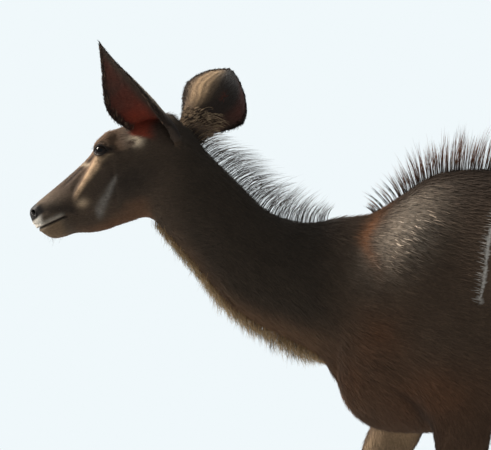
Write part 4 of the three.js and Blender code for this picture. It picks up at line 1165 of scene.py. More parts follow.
# Materials
def node(tree, kind, **values):
    """A new node with its sockets, or else its own settings, at given values."""
    made = tree.nodes.new(kind)
    for name, value in values.items():
        socket = name.replace("_", " ")
        if socket in made.inputs:
            made.inputs[socket].default_value = value
        else:
            setattr(made, name, value)
    return made


def noise_grey(tree, scale, low, high, stretch):
    """A cloudy grey between low and high, and the bare noise under it."""
    place = node(tree, "ShaderNodeTexCoord")
    turn = node(tree, "ShaderNodeMapping", Scale=stretch)
    cloud = node(tree, "ShaderNodeTexNoise", Scale=scale, Detail=3)
    ramp = node(tree, "ShaderNodeMapRange", From_Min=0.3, From_Max=0.7, To_Min=low, To_Max=high)
    tree.links.new(place.outputs["Object"], turn.inputs["Vector"])
    tree.links.new(turn.outputs["Vector"], cloud.inputs["Vector"])
    tree.links.new(cloud.outputs["Fac"], ramp.inputs["Value"])
    return ramp.outputs["Result"], cloud.outputs["Fac"]


def grained(name, grain, stretch=(1, 1, 1), colour=None, relief=None, **sockets):
    """A material of one colour, or else of the piece's own marks, under a fine grain of grey."""
    made = bpy.data.materials.new(name)
    made.use_nodes = True
    tree = made.node_tree
    shader = tree.nodes["Principled BSDF"]
    for socket, value in sockets.items():
        shader.inputs[socket.replace("_", " ")].default_value = value
    if colour is None:
        hue = node(tree, "ShaderNodeAttribute", attribute_name="marks").outputs["Color"]
    else:
        hue = node(tree, "ShaderNodeRGB").outputs[0]
        hue.default_value = (*colour, 1)
    grey, cloud = noise_grey(tree, *grain, stretch)
    mixer = node(tree, "ShaderNodeMix", data_type="RGBA", blend_type="MULTIPLY", Factor=1.0)
    tree.links.new(hue, mixer.inputs[6])
    tree.links.new(grey, mixer.inputs[7])
    tree.links.new(mixer.outputs[2], shader.inputs["Base Color"])
    if relief:
        strength, distance = relief
        lift = node(tree, "ShaderNodeBump", Strength=strength, Distance=distance)
        tree.links.new(cloud, lift.inputs["Height"])
        tree.links.new(lift.outputs["Normal"], shader.inputs["Normal"])
    return made


def skin_material():
    """Short hair at a distance, smoother where the skin is bare."""
    made = grained(
        "short_coat_skin", (420, 0.72, 1.15), (0.35, 1, 1), relief=(0.45, 0.0016), Specular_IOR_Level=0.2
    )
    tree = made.node_tree
    bare = node(tree, "ShaderNodeAttribute", attribute_name="bare")
    rough = node(tree, "ShaderNodeMapRange", To_Min=0.82, To_Max=0.55)
    tree.links.new(bare.outputs["Fac"], rough.inputs["Value"])
    tree.links.new(rough.outputs["Result"], tree.nodes["Principled BSDF"].inputs["Roughness"])
    return made


def hair_material(name, roughness, variation):
    grain = 150, 1 - variation, 1 + variation
    return grained(
        name, grain, Roughness=roughness, Specular_IOR_Level=0.15, Sheen_Weight=0.03, Sheen_Roughness=0.5
    )


def eye_material():
    return grained(
        "wet_eye", (900, 0.8, 1.15),
        Roughness=0.1, Specular_IOR_Level=0.14, Coat_Weight=0.12, Coat_Roughness=0.02,
    )


def horn_material():
    return grained(
        "hoof_horn", (260, 0.65, 1.25), (0.25, 0.25, 1.6), relief=(0.5, 0.0008),
        Roughness=0.45, Specular_IOR_Level=0.4,
    )


# The unwrap of the skin's own shape on which each tuft has its patch
CHARTS = {
    "trunk": (0.01, 0.01, 0.6, 0.48),
    "neck": (0.63, 0.01, 0.35, 0.3),
    "head": (0.63, 0.33, 0.35, 0.34),
    "foreleg_left": (0.01, 0.51, 0.29, 0.11),
    "foreleg_right": (0.32, 0.51, 0.29, 0.11),
    "hindleg_left": (0.01, 0.64, 0.29, 0.13),
    "hindleg_right": (0.32, 0.64, 0.29, 0.13),
    "tail": (0.01, 0.79, 0.29, 0.08),
    "left": (0.32, 0.79, 0.29, 0.19),
    "right": (0.63, 0.69, 0.35, 0.29),
}


def turn_share(a, b):
    """The direction of a and b as a share of a whole turn."""
    return np.arctan2(a, b) / (2 * math.pi) + 0.5


def chart_places(p, n, outside):
    """Where points of the skin lie on its unwrap: a strip for each part, along it and round it."""
    out = np.zeros((len(p), 2))
    x, y, z = p.T

    def put(mask, chart, along, around):
        u0, v0, du, dv = CHARTS[chart]
        out[mask, 0] = u0 + du * np.clip(along, 0, 1)[mask]
        out[mask, 1] = v0 + dv * np.clip(around, 0, 1)[mask]

    put(np.ones(len(p), bool), "trunk", (x + 340) / 1320, turn_share(y, z - 960))
    d = p - NECK_START
    t = d @ NECK_ALONG
    put((x < -300) & (t > -20), "neck", (t + 40) / 540, turn_share(y, d @ NECK_UP + 50))
    s, _, h = head_local(p).T
    put((t < 20) & (x < HEAD_BACK), "head", (s + 70) / 380, turn_share(y, h - 5))
    for name, leg in LEGS.items():
        row = leg["look"](z)
        dx, dy = -x - row[:, 3], y - row[:, 6]
        top, reach = (700, 110) if leg["fore"] else (800, 170)
        mask = (z < top) & (np.abs(dx) < reach) & (np.hypot(dx, dy) < 170) & (np.sign(y) == leg["side"])
        put(mask & (x < 900), name, z / 820, turn_share(dy, dx))
    put((x > 952) & (z < 1130), "tail", (z - 720) / 420, turn_share(y, x - 980))
    on, u, across = ear_place(p)
    for k, (name, ear) in enumerate(EARS.items(), 1):
        inner = (n @ ear["face"]) > 0.1
        put((on == k) & (outside > 2.5), name, u, 0.25 + across / 260 + 0.5 * inner)
    return out


PATCH = 0.003  # the side of a tuft's patch on the unwrap


class Roots:
    """Places on the skin where hair stands: points, normals and how far each is outside the flesh."""

    def __init__(self, points, normals, outside):
        self.points, self.normals, self.outside = points, normals, outside

    def pick(self, mask):
        return Roots(self.points[mask], self.normals[mask], self.outside[mask])


def scatter(rng, count, density):
    """Roots spread over the skin in proportion to its area times a density."""
    points, faces, normals = SKIN["points"], SKIN["faces"], SKIN["normals"]
    a, b, c = (points[faces[:, k]] for k in range(3))
    area = np.linalg.norm(np.cross(b - a, c - a), axis=1) / 2
    weight = np.cumsum(area * density((a + b + c) / 3, SKIN["outside"][faces].mean(1)))
    draw = (np.arange(count) + rng.random(count)) / count * weight[-1]
    pick = faces[np.minimum(np.searchsorted(weight, draw), len(faces) - 1)]
    r1, r2 = np.sqrt(rng.random(count)), rng.random(count)
    w = np.stack([1 - r1, r1 * (1 - r2), r1 * r2], 1)
    at = (points[pick] * w[..., None]).sum(1)
    n = unit((normals[pick] * w[..., None]).sum(1))
    return Roots(at, n, (SKIN["outside"][pick] * w).sum(1))


def hair_mesh(name, paths, widths, normals, root_colour, tip_colour, uv, finish, limit=190000):
    """Closed, flat, three-sided hairs along paths, joined into pieces under the limit of triangles."""
    count, rings = paths.shape[:2]
    most = limit // (6 * (rings - 2) + 4)
    for part in range(0, count, most):
        cut = slice(part, part + most)
        path, width, normal = paths[cut], widths[cut], normals[cut]
        size = len(path)
        heading = unit(np.gradient(path, axis=1))
        across = unit(np.cross(heading, normal[:, None, :]))
        over = np.cross(across, heading)
        body = path[:, :-1]
        half = width[:, :-1, None] / 2
        a, o = across[:, :-1], over[:, :-1]
        ring = np.stack([body + a * half, body + o * half * 0.45, body - a * half], 2)
        verts = np.concatenate([ring.reshape(size, -1, 3), path[:, -1:]], 1)
        lean = np.stack([a * 0.55 + o * 0.85, o, -a * 0.55 + o * 0.85], 2)
        soft = np.concatenate([lean.reshape(size, -1, 3), over[:, -1:]], 1)
        local = []
        for r in range(rings - 2):
            q = r * 3
            for i, j in ((0, 1), (1, 2), (2, 0)):
                local += [(q + i, q + 3 + i, q + 3 + j), (q + i, q + 3 + j, q + j)]
        q, tip = (rings - 2) * 3, (rings - 1) * 3
        local += [(q, tip, q + 1), (q + 1, tip, q + 2), (q + 2, tip, q), (0, 1, 2)]
        local = np.array(local)
        per = verts.shape[1]
        a0, b0, c0 = verts[0][local].transpose(1, 0, 2)
        if np.einsum("ij,ij->", a0 - verts[0].mean(0), np.cross(b0 - a0, c0 - a0)) < 0:
            local = local[:, ::-1]
        faces = (local[None] + (np.arange(size) * per)[:, None, None]).reshape(-1, 3)
        label = name if count <= most else f"{name}_{part // most + 1}"
        piece = new_object(label, to_world(verts.reshape(-1, 3)), faces)
        along = np.concatenate([np.repeat(np.linspace(0, 1, rings)[:-1], 3), [1.0]])
        share = along[None, :, None]
        tint = root_colour[cut][:, None] * (1 - share) + tip_colour[cut][:, None] * share
        paint(piece.data, "marks", tint.reshape(-1, 3))
        layer = piece.data.uv_layers.new(name="OFBake")
        spread = np.concatenate([np.tile([[0.0], [0.5], [1.0]], (rings - 1, 1)), [[0.5]]])
        patch = np.concatenate([spread, along[:, None]], 1) * PATCH
        place = (uv[cut][:, None] + patch[None]).reshape(-1, 2)
        layer.data.foreach_set("uv", place[faces.ravel()].astype(np.float32).ravel())
        piece.data.normals_split_custom_set_from_vertices(unit(soft.reshape(-1, 3)).tolist())
        piece.data.materials.append(finish)
        finish_piece(piece, "coat")


def coat_length(p, outside):
    """Length of the coat's hair over the body."""
    s = head_local(p)[:, 0]
    length = 21.0 * (1 - 0.45 * smoothstep(820, 560, p[:, 2]))
    at_head = head_share(p, -120, 30)
    length = length * (1 - at_head) + (9.5 - 5.6 * smoothstep(60, 250, s)) * at_head
    on, _, _ = ear_place(p)
    leaf = leaf_share(outside) * (on > 0)
    return length * (1 - leaf) + 7.5 * leaf


def build_coat(rng, count):
    """Short hair over the whole skin, each tuft a closed flat blade along the coat's lie."""

    def density(p, outside):
        return 1 / (coat_length(p, outside) / 21) ** 1.25

    roots = scatter(rng, count, density)
    colour, bare = marks(roots.points, roots.normals, roots.outside)
    keep = (bare < 0.35 + 0.3 * rng.random(count)) & (roots.points[:, 2] > HOOF_HEIGHT + 1)
    roots, colour = roots.pick(keep), colour[keep]
    count = len(roots.points)
    length = coat_length(roots.points, roots.outside) * (0.75 + 0.5 * rng.random(count))
    low = roots.points[:, 2] - HOOF_HEIGHT
    length = np.where(low < length + 2, np.maximum(low + 1, 4), length)
    blade = blade_sheen_part(roots.points)
    length = length * (1 - 0.76 * smoothstep(6, 3, stripe_gap(roots.points)))
    n = roots.normals
    way = unit(lie(roots.points, n, roots.outside) - (0.3 * blade)[:, None] * DOWN_UP)
    side = np.cross(n, way)
    way = unit(way + side * (rng.normal(0, 0.13, count))[:, None])
    lift = np.radians(rng.uniform(5, 17, count))
    slim = smoothstep(60, 20, length)
    tip = roots.points + (way * np.cos(lift)[:, None] + n * np.sin(lift)[:, None]) * length[:, None]
    root = roots.points - n * 0.8
    paths = np.stack([root, tip], 1)
    width = (0.7 + 0.085 * length) * (0.8 + 0.4 * rng.random(count)) * slim
    widths = np.stack([width, width * 0.1], 1)
    # on the shoulder blade the tufts' tones spread wider, their roots darker and their tips brighter: painted
    # glints of sheen
    tone = (np.exp(rng.normal(0, 1, count) * (0.1 + 0.62 * blade)) * (1 - 0.14 * blade))[:, None]
    end_colour = marks(tip, n, roots.outside)[0]
    dim, bright = (0.82 - 0.3 * blade)[:, None], (1.08 + 0.5 * blade)[:, None]
    uv = chart_places(roots.points, n, roots.outside)
    finish = hair_material("short_coat", 0.72, 0.12)
    hair_mesh("coat", paths, widths, n, colour * tone * dim, end_colour * tone * bright, uv, finish)


def strands(rng, guides, per, spread, segments, width, tuck=0.7, wild=0.1):
    """Hair in locks: strands that start round each guide's root and draw in towards its tip."""
    root, rise, sweep, side, length = guides
    count = len(root)
    pick = np.repeat(np.arange(count), per)
    total = len(pick)
    ahead = unit(np.cross(side, rise))[pick]
    off_along = rng.normal(0, spread[0], total)[:, None] * ahead
    off_side = rng.normal(0, spread[1], total)[:, None] * side[pick]
    start = root[pick] + off_along + off_side
    size = length[pick] * np.clip(rng.normal(0.9, 0.2, total), 0.35, 1.25)
    jitter = rng.normal(0, wild, (total, 3))
    path = [start - rise[pick] * 5]
    place = start
    for i in range(1, segments + 1):
        u = i / segments
        heading = rise[pick] + (sweep[pick] - rise[pick]) * float(smoothstep(0.1, 1, u)) + jitter * (0.4 + u)
        place = place + unit(heading) * (size / segments)[:, None]
        path.append(place - (off_along + off_side) * tuck * u**1.3)
    paths = np.stack(path, 1)
    u = np.linspace(0, 1, segments + 1)
    thick = np.clip((1 - u**2.2) * (0.8 + 0.4 * u), 0.05, 1)
    widths = width * (0.75 + 0.5 * rng.random(total))[:, None] * thick[None]
    return paths, widths, start, pick


def line_guides(rng, count, root, length, rise, sweep, out):
    """Guides for locks along a line of the skin, on both sides of it."""
    u = np.sort(np.clip((np.arange(count) + rng.random(count)) / count, 0, 1))
    side = np.where(np.arange(count) % 2 == 0, 1.0, -1.0)[:, None] * SIDE
    at = root(u) + side * out * (0.4 + 0.9 * rng.random(count))[:, None]
    size = length(u) * np.clip(1 + 0.15 * rng.normal(0, 1, count), 0.6, 1.22)
    up = unit(rise(u) + side * 0.16)
    way = unit(sweep(u) + side * 0.1 + rng.normal(0, 0.07, (count, 3)))
    return u, (at, up, way, side, size)


def table_row(pairs):
    """A smooth curve through pairs of a position and a value."""
    look = curve_rows(pairs)
    return lambda u: look(u)[:, 0]


def mix(a, b, t):
    return np.asarray(a) + (np.asarray(b) - np.asarray(a)) * np.asarray(t)[:, None]


# Where the nape mane and the throat fringe start and end along the neck, and the crest along the back
NAPE = (-14, 348)
CREST = (-228, 880)
FRINGE = (40, 505)
nape_length = table_row([(0, 34), (0.12, 58), (0.3, 80), (0.6, 78), (0.85, 66), (1, 36)])
crest_length = table_row(
    [(0, 18), (0.05, 40), (0.12, 60), (0.24, 72), (0.38, 70), (0.53, 54), (0.75, 36), (1, 22)]
)
crest_lean = table_row([(0, -1.5), (0.08, -0.9), (0.15, -0.35), (0.23, 0), (0.38, 0.45), (0.66, 1), (1, 1.5)])
fringe_length = table_row([(0, 16), (0.3, 28), (0.6, 37), (0.85, 42), (1, 8)])


def nape_root(u):
    start = NECK_START + np.multiply.outer(NAPE[0] + (NAPE[1] - NAPE[0]) * u, NECK_ALONG)
    return start + NECK_UP * cast(hide, start, NECK_UP)[:, None]


def nape_rise(u):
    return unit(mix(unit([0.75, 0, 0.62]), unit([0.12, 0, 1]), smoothstep(0.4, 0.95, u)))


def nape_sweep(u):
    return unit(mix([1, 0, -0.02], unit([0.75, 0, 0.7]), smoothstep(0.4, 0.95, u)))


def crest_root(u):
    start = np.stack([CREST[0] + (CREST[1] - CREST[0]) * u**1.35, 0 * u, 0 * u + 1000], 1)
    return start + DOWN_UP * cast(hide, start, DOWN_UP)[:, None]


def crest_rise(u):
    return unit(np.stack([crest_lean(u) * 0.7, 0 * u, 0 * u + 1], 1))


def crest_sweep(u):
    return unit(np.stack([crest_lean(u) * 1.3 + 0.02, 0 * u, 0 * u + 1], 1))


def fringe_root(u):
    start = NECK_START + np.multiply.outer(FRINGE[0] + (FRINGE[1] - FRINGE[0]) * u, NECK_ALONG) - NECK_UP * 60
    return start - NECK_UP * cast(hide, start, -NECK_UP)[:, None]


def fringe_rise(u):
    return np.broadcast_to(unit([-0.15, 0, -1]), (len(u), 3))


def fringe_sweep(u):
    return np.broadcast_to(unit([0.45, 0, -1]), (len(u), 3))


def mane_piece(name, rng, guides, u, per, spread, segments, width, colours, finish, tuck=0.7, wild=0.1):
    """One mane: strands in locks, coloured from dark roots to their own tips."""
    paths, widths, start, pick = strands(rng, guides, per, spread, segments, width, tuck, wild)
    root_hue, tip_hue = colours(u[pick], rng)
    n = unit(guides[3][pick] + 0.3 * guides[1][pick])
    uv = chart_places(start, n, np.zeros(len(start)))
    hair_mesh(name, paths, widths, n, root_hue, tip_hue, uv, finish)


def hue_pair(root, tip, spread, rng, count):
    tone = np.clip(1 + rng.normal(0, spread, count), 0.55, 1.6)[:, None]
    return linear(root)[None] * tone, linear(tip)[None] * tone


def nape_colours(u, rng):
    root, tip = hue_pair((46, 37, 31), (84, 66, 52), 0.22, rng, len(u))
    pale = (rng.random(len(u)) < 0.08)[:, None]
    return root, np.where(pale, linear((150, 128, 104)), tip)


def crest_colours(u, rng):
    root, tip = hue_pair((30, 24, 21), (150, 92, 60), 0.2, rng, len(u))
    pale = (rng.random(len(u)) < 0.1 + 0.45 * smoothstep(0.45, 0.8, u))[:, None]
    return root, np.where(pale, linear((206, 192, 172)), tip)


# the throat fringe's tan, lighter towards the tips: partly its own colour, partly painted light shining
# through it
def fringe_colours(u, rng):
    return hue_pair((124, 97, 69), (200, 172, 130), 0.2, rng, len(u))


def tail_colours(u, rng):
    root, tip = hue_pair((120, 98, 80), (104, 84, 68), 0.18, rng, len(u))
    black = smoothstep(0.5, 0.68, u + rng.normal(0, 0.05, len(u)))[:, None]
    return root * (1 - black) + linear((40, 32, 28)) * black, tip * (1 - black) + linear((30, 24, 22)) * black


def tail_guides(rng, count):
    u = np.sort(rng.random(count))
    z = 1040 - 255 * u
    turn = rng.random(count) * 2 * math.pi
    outward = np.stack([np.cos(turn), np.sin(turn), 0 * turn], 1)
    row = curve_rows(TAIL)(z)
    start = np.stack([-row[:, 3], 0 * z, z], 1)
    skin = np.array([cast(tail_tube, start[i], outward[i], far=40, step=2)[0] for i in range(count)])
    root = start + outward * (skin - 3)[:, None]
    rise = unit(outward * 0.5 + np.array([0, 0, -1.0]))
    sweep = unit(outward * 0.07 + np.array([0, 0, -1.0]))
    side = np.cross(outward, DOWN_UP)
    length = 46 + 22 * u + rng.normal(0, 5, count)
    return u, (root, rise, sweep, side, length)


def ear_hair(rng, finish):
    """Hair inside each ear and along its rim, and the long fan over the root of the far ear."""
    for name, ear in EARS.items():
        count = 900
        u = 0.1 + 0.86 * rng.random(count) ** 0.9
        edge = np.where(rng.random(count) < 0.5, -1.0, 1.0)
        v = edge * (1 - 0.2 * rng.random(count) ** 2)
        inside = rng.random(count) < 0.6
        root = ear_point(ear, u, v, np.where(inside, 1.0, 0.0))
        middle = ear_point(ear, u, v * 0.25, np.where(inside, 1.0, 0.0))
        inward = unit(middle - root)
        length = np.where(inside, 13 * (1 - 0.6 * u), 4.5) * (0.6 + 0.7 * rng.random(count))
        rise = unit(ear["along"] * 0.8 + ear["face"] * 0.1 + inward * 0.5)
        sweep = unit(ear["along"] * 1.0 + inward * 0.7)
        rise = np.where(inside[:, None], rise, unit(ear["along"] + 0 * root))
        sweep = np.where(inside[:, None], sweep, unit(ear["along"] - inward * 0.1))
        side = unit(np.cross(rise, inward))
        pale = (rng.random(count) < 0.3) & inside
        hue = np.where(pale[:, None], linear((128, 104, 86)), linear((56, 43, 37)))
        sets = [((root, rise, sweep, side, length), hue, 2, 0.7)]
        if name == "right":
            count = 420
            u = -0.02 + 0.2 * rng.random(count)
            v = rng.uniform(-0.6, 0.75, count)
            root = ear_point(ear, u, v, np.zeros(count))
            rise = unit(ear["along"] * 0.7 - ear["across"] * 0.45 - ear["face"] * 0.4 + 0 * root)
            sweep = unit(ear["along"] * 0.12 - ear["across"] + rng.normal(0, 0.1, (count, 3)))
            side = np.broadcast_to(ear["face"], root.shape)
            length = rng.uniform(20, 40, count) * (1.1 - 0.5 * np.abs(v))
            # pale tan strands in the fan: their own tan, brightened as painted light
            pale = rng.random(count) < 0.6
            hue = np.where(pale[:, None], linear((200, 170, 136)), linear((80, 63, 51)))
            sets.append(((root, rise, sweep, side, length), hue, 4, 0.85))
        for guides, hue, per, width in sets:
            paths, widths, start, pick = strands(rng, guides, per, (1.2, 1.2), 4, width, 0.4, 0.1)
            tone = np.clip(1 + rng.normal(0, 0.15, len(pick)), 0.6, 1.5)[:, None] * hue[pick]
            n = np.broadcast_to(-ear["face"] if per > 2 else ear["face"], start.shape)
            uv = chart_places(start, n, np.full(len(start), 9.0))
            label = ("ear_fan_" if per > 2 else "ear_hair_") + name
            hair_mesh(label, paths, widths, n, tone * 0.7, tone * 1.1, uv, finish)


# Pieces that repeat along a line, made with Geometry Nodes
def bristle_tree(name, finish):
    """A node tree that stands a curved, tapered bristle on every point of a mesh."""
    tree = bpy.data.node_groups.new(name, "GeometryNodeTree")
    face = tree.interface
    face.new_socket("Geometry", in_out="INPUT", socket_type="NodeSocketGeometry")
    for label, value in (("Thickness", 0.0004), ("Bend", 0.3), ("Spread", 0.25)):
        face.new_socket(label, in_out="INPUT", socket_type="NodeSocketFloat").default_value = value
    face.new_socket("Seed", in_out="INPUT", socket_type="NodeSocketInt").default_value = 3
    face.new_socket("Geometry", in_out="OUTPUT", socket_type="NodeSocketGeometry")

    def add(kind, fed=(), **values):
        """The outputs of a new node, with its inputs fed from other nodes' outputs."""
        made = node(tree, kind, **values)
        for socket, source in fed:
            tree.links.new(source, made.inputs[socket])
        return made.outputs

    given = add("NodeGroupInput")
    bend = add("ShaderNodeCombineXYZ", [("X", given["Bend"])], Z=0.7)["Vector"]
    arc = add(
        "GeometryNodeCurvePrimitiveBezierSegment", [("End Handle", bend)],
        Resolution=5, Start=(0, 0, 0), Start_Handle=(0, 0, 0.35), End=(0, 0, 1),
    )["Curve"]
    along = add("GeometryNodeSplineParameter")["Factor"]
    fall = add("ShaderNodeMapRange", [("Value", along)], To_Min=1.0, To_Max=0.12)["Result"]
    taper = add("GeometryNodeSetCurveRadius", [("Curve", arc), ("Radius", fall)])["Curve"]
    ring = add("GeometryNodeCurvePrimitiveCircle", [("Radius", given["Thickness"])], Resolution=4)["Curve"]
    shaft_feeds = [("Curve", taper), ("Profile Curve", ring), ("Scale", fall)]
    shaft = add("GeometryNodeCurveToMesh", shaft_feeds, Fill_Caps=True)["Mesh"]
    way = add("GeometryNodeInputNamedAttribute", data_type="FLOAT_VECTOR", Name="way")["Attribute"]
    turn = add("FunctionNodeAlignRotationToVector", [("Vector", way)], axis="Z")["Rotation"]
    # each bristle's size is its point's own, drawn a little shorter or longer
    size = add("GeometryNodeInputNamedAttribute", Name="size")["Attribute"]
    low = add("ShaderNodeMath", [(1, given["Spread"])], operation="SUBTRACT", Value=1.0)[0]
    high = add("ShaderNodeMath", [(1, given["Spread"])], Value=1.0)[0]
    chance = add("FunctionNodeRandomValue", [(2, low), (3, high), ("Seed", given["Seed"])])[1]
    grow = add("ShaderNodeMath", [(0, size), (1, chance)], operation="MULTIPLY")[0]
    stand = add(
        "GeometryNodeInstanceOnPoints",
        [("Points", given["Geometry"]), ("Instance", shaft), ("Rotation", turn), ("Scale", grow)],
    )["Instances"]
    real = add("GeometryNodeRealizeInstances", [("Geometry", stand)])["Geometry"]
    dress = add("GeometryNodeSetMaterial", [("Geometry", real)], Material=finish)["Geometry"]
    add("NodeGroupOutput", [("Geometry", dress)])
    return tree


def bristles(name, roots, ways, sizes, thickness, bend, finish):
    """Lashes or whiskers on given roots, made by the bristle tree and kept as a plain mesh."""
    mesh = bpy.data.meshes.new(name + "_roots")
    mesh.from_pydata([tuple(v) for v in to_world(roots)], [], [])
    way = mesh.attributes.new("way", "FLOAT_VECTOR", "POINT")
    way.data.foreach_set("vector", unit(ways).astype(np.float32).ravel())
    size = mesh.attributes.new("size", "FLOAT", "POINT")
    size.data.foreach_set("value", (np.asarray(sizes) / 1000).astype(np.float32))
    seat = bpy.data.objects.new(name + "_seat", mesh)
    bpy.context.scene.collection.objects.link(seat)
    tree = bristle_tree(name + "_tree", finish)
    grown = seat.modifiers.new("bristles", "NODES")
    grown.node_group = tree
    sockets = {s.name: s.identifier for s in tree.interface.items_tree if s.in_out == "INPUT"}
    # a bristle is one unit long in its tree, so its thickness is a share of its length
    grown[sockets["Thickness"]] = thickness / float(np.mean(sizes))
    grown[sockets["Bend"]] = bend
    grown[sockets["Spread"]] = 0.22
    grown[sockets["Seed"]] = 5
    whole = bpy.data.meshes.new_from_object(seat.evaluated_get(bpy.context.evaluated_depsgraph_get()))
    seat.modifiers.remove(grown)
    bpy.data.objects.remove(seat)
    bpy.data.meshes.remove(mesh)
    whole.name = name
    made = bpy.data.objects.new(name, whole)
    bpy.context.scene.collection.objects.link(made)
    return made


# Operators, one for each group of pieces
class KUDU_OT_skin(bpy.types.Operator):
    """Builds the one skin that stands for all the nodes of flesh"""

    bl_idname = "kudu.skin"
    bl_label = "Skin"

    def execute(self, context):
        points, faces = join_ears(*build_skin())
        SKIN["points"], SKIN["faces"] = points, faces
        SKIN["normals"] = normals_of(points, faces)
        SKIN["outside"] = hide(points)
        made = new_object("skin", to_world(points), faces)
        colour, bare = marks(points, SKIN["normals"], SKIN["outside"])
        paint(made.data, "marks", colour)
        paint(made.data, "bare", np.repeat(bare[:, None], 3, 1))
        made.data.materials.append(skin_material())
        finish_piece(made, "coat", "torso", "neck", "head", "ear_left", "ear_right", "tail", *LEGS)
        return {"FINISHED"}


class KUDU_OT_eyes(bpy.types.Operator):
    """Builds both eyes: a dark ball with a raised, wet cornea"""

    bl_idname = "kudu.eyes"
    bl_label = "Eyes"

    def execute(self, context):
        settings = context.scene.kudu_face
        finish = eye_material()
        for side, word in ((-1, "left"), (1, "right")):
            out, forward, rise = eye_frame(side)
            lon = np.linspace(0, 2 * math.pi, 48, endpoint=False)
            rings, tints = [], []
            for angle in np.linspace(0, math.pi, 40)[1:-1]:
                away = math.degrees(angle)
                radius = EYE_RADIUS - 0.15 + settings.cornea * float(bump(away, 0, 30.0))
                ring = (
                    math.cos(angle) * out[None] * radius
                    + np.outer(np.cos(lon), forward) * math.sin(angle) * radius
                    + np.outer(np.sin(lon), rise) * math.sin(angle) * radius
                )
                rings.append(ring)
                a = np.cos(lon) * math.sin(angle) * EYE_RADIUS
                b = np.sin(lon) * math.sin(angle) * EYE_RADIUS
                iris = smoothstep(46, 40, away)
                pupil = smoothstep(1.1, 0.9, np.hypot(a / 6.6, b / 4.0))
                tint = linear((26, 17, 13)) * (1 - iris) + np.array(settings.iris_colour) * iris
                tints.append(tint[None] * (1 - pupil[:, None]) + linear((6, 5, 6)) * pupil[:, None])
            points, faces = closed_loft(np.array(rings) + EYES[side])
            tint = np.concatenate([np.concatenate(tints), tints[0][:1], tints[-1][:1]])
            made = new_object("eyeball_" + word, to_world(points), faces)
            paint(made.data, "marks", tint)
            made.data.materials.append(finish)
            finish_piece(made, "eye", "eye_" + word)
        return {"FINISHED"}


def closed_turn(count):
    return np.linspace(0, 2 * math.pi, count, endpoint=False)


HOOF_WALL = curve_rows([(0, 68, 31, 15.5), (6, 65, 32, 16), (32, 48, 33, 15.3), (HOOF_HEIGHT, 31, 30, 13)])


def hoof_shell(leg, claw, ring_count):
    """One hoof: a pointed wall with growth rings, flatter on the side of the cleft."""
    row = leg["look"](np.array([float(HOOF_HEIGHT)]))[0]
    angle = closed_turn(44)
    ahead, aside = np.cos(angle), np.sin(angle)
    rings = []
    for k, z in enumerate([0.0, 0.0, *np.linspace(1.2, HOOF_HEIGHT, 30)]):
        front, back, half = HOOF_WALL(np.array([z]))[0]
        groove = 0.35 * math.sin(z / HOOF_HEIGHT * ring_count * 2 * math.pi) * (4 < z < 52)
        shrink = (0.93, 0.985)[k] if k < 2 else 1
        reach = np.where(ahead > 0, (front + groove) * np.abs(ahead) ** 1.15, back * ahead) * shrink
        wide = half * aside * np.where(ahead > 0, 1 - 0.42 * ahead**2, 1) * shrink
        wide = wide * np.where(aside < 0, 0.55, 1.15)
        y = row[6] + claw * (HOOF_CLEFT / 2 + half * 0.55) + claw * (wide + groove * aside * 0.5)
        rings.append(np.stack([-row[3] - reach, y, np.full(len(angle), z)], 1))
    return closed_loft(np.array(rings))


def dewclaw_shell(leg, claw):
    """One dewclaw: a short blunt horn behind the fetlock."""
    row = leg["look"](np.array([116.0]))[0]
    turn = closed_turn(24)
    axis = unit([math.cos(-0.6), 0, math.sin(-0.6)])
    over = np.array([-axis[2], 0, axis[0]])
    base = np.array([-row[1] + 2, row[6] + claw * 12, 107]) - axis * 13.5
    rings = []
    for u in np.linspace(0, 1, 12):
        size = 9.6 * (1 - u**1.5) ** 0.75 * (1 + 0.03 * math.sin(u * 26))
        at = base + axis * 27 * u - DOWN_UP * 2.5 * u * u
        rings.append(at + np.outer(np.cos(turn), SIDE) * size * 0.8 + np.outer(np.sin(turn), over) * size)
    return closed_loft(np.array(rings))


class KUDU_OT_hooves(bpy.types.Operator):
    """Builds the hooves with their growth rings, and the dewclaws"""

    bl_idname = "kudu.hooves"
    bl_label = "Hooves and dewclaws"

    def execute(self, context):
        finish = horn_material()
        ring_count = context.scene.kudu_coat.hoof_rings
        for name, leg in LEGS.items():
            hooves = merge([hoof_shell(leg, claw, ring_count) for claw in (-1, 1)])
            dewclaws = merge([dewclaw_shell(leg, claw) for claw in (-1, 1)])
            z = hooves[0][:, 2]
            hoof_tint = linear((30, 25, 23))[None] * (1 + 0.5 * smoothstep(16, 0, z))[:, None]
            hoof_tint = blend(hoof_tint, (84, 70, 58), 0.55 * smoothstep(40, 56, z))
            dewclaw_tint = np.broadcast_to(linear((34, 28, 25)), (len(dewclaws[0]), 3))
            for label, word, (points, faces), tint in (
                ("hooves_", "hoof", hooves, hoof_tint),
                ("dewclaws_", "dewclaw", dewclaws, dewclaw_tint),
            ):
                made = new_object(label + name, to_world(points), faces)
                paint(made.data, "marks", tint)
                made.data.materials.append(finish)
                node_name = name.replace("leg", word)
                finish_piece(made, "horn", node_name + "_near", node_name + "_off")
        return {"FINISHED"}


class KUDU_OT_coat(bpy.types.Operator):
    """Covers the skin with its short coat, in the lie and markings of the animal, with painted light and
    shade among its colours
    """

    bl_idname = "kudu.coat"
    bl_label = "Short coat"

    def execute(self, context):
        count = context.scene.kudu_coat.tufts
        build_coat(np.random.default_rng(11), count)
        return {"FINISHED"}


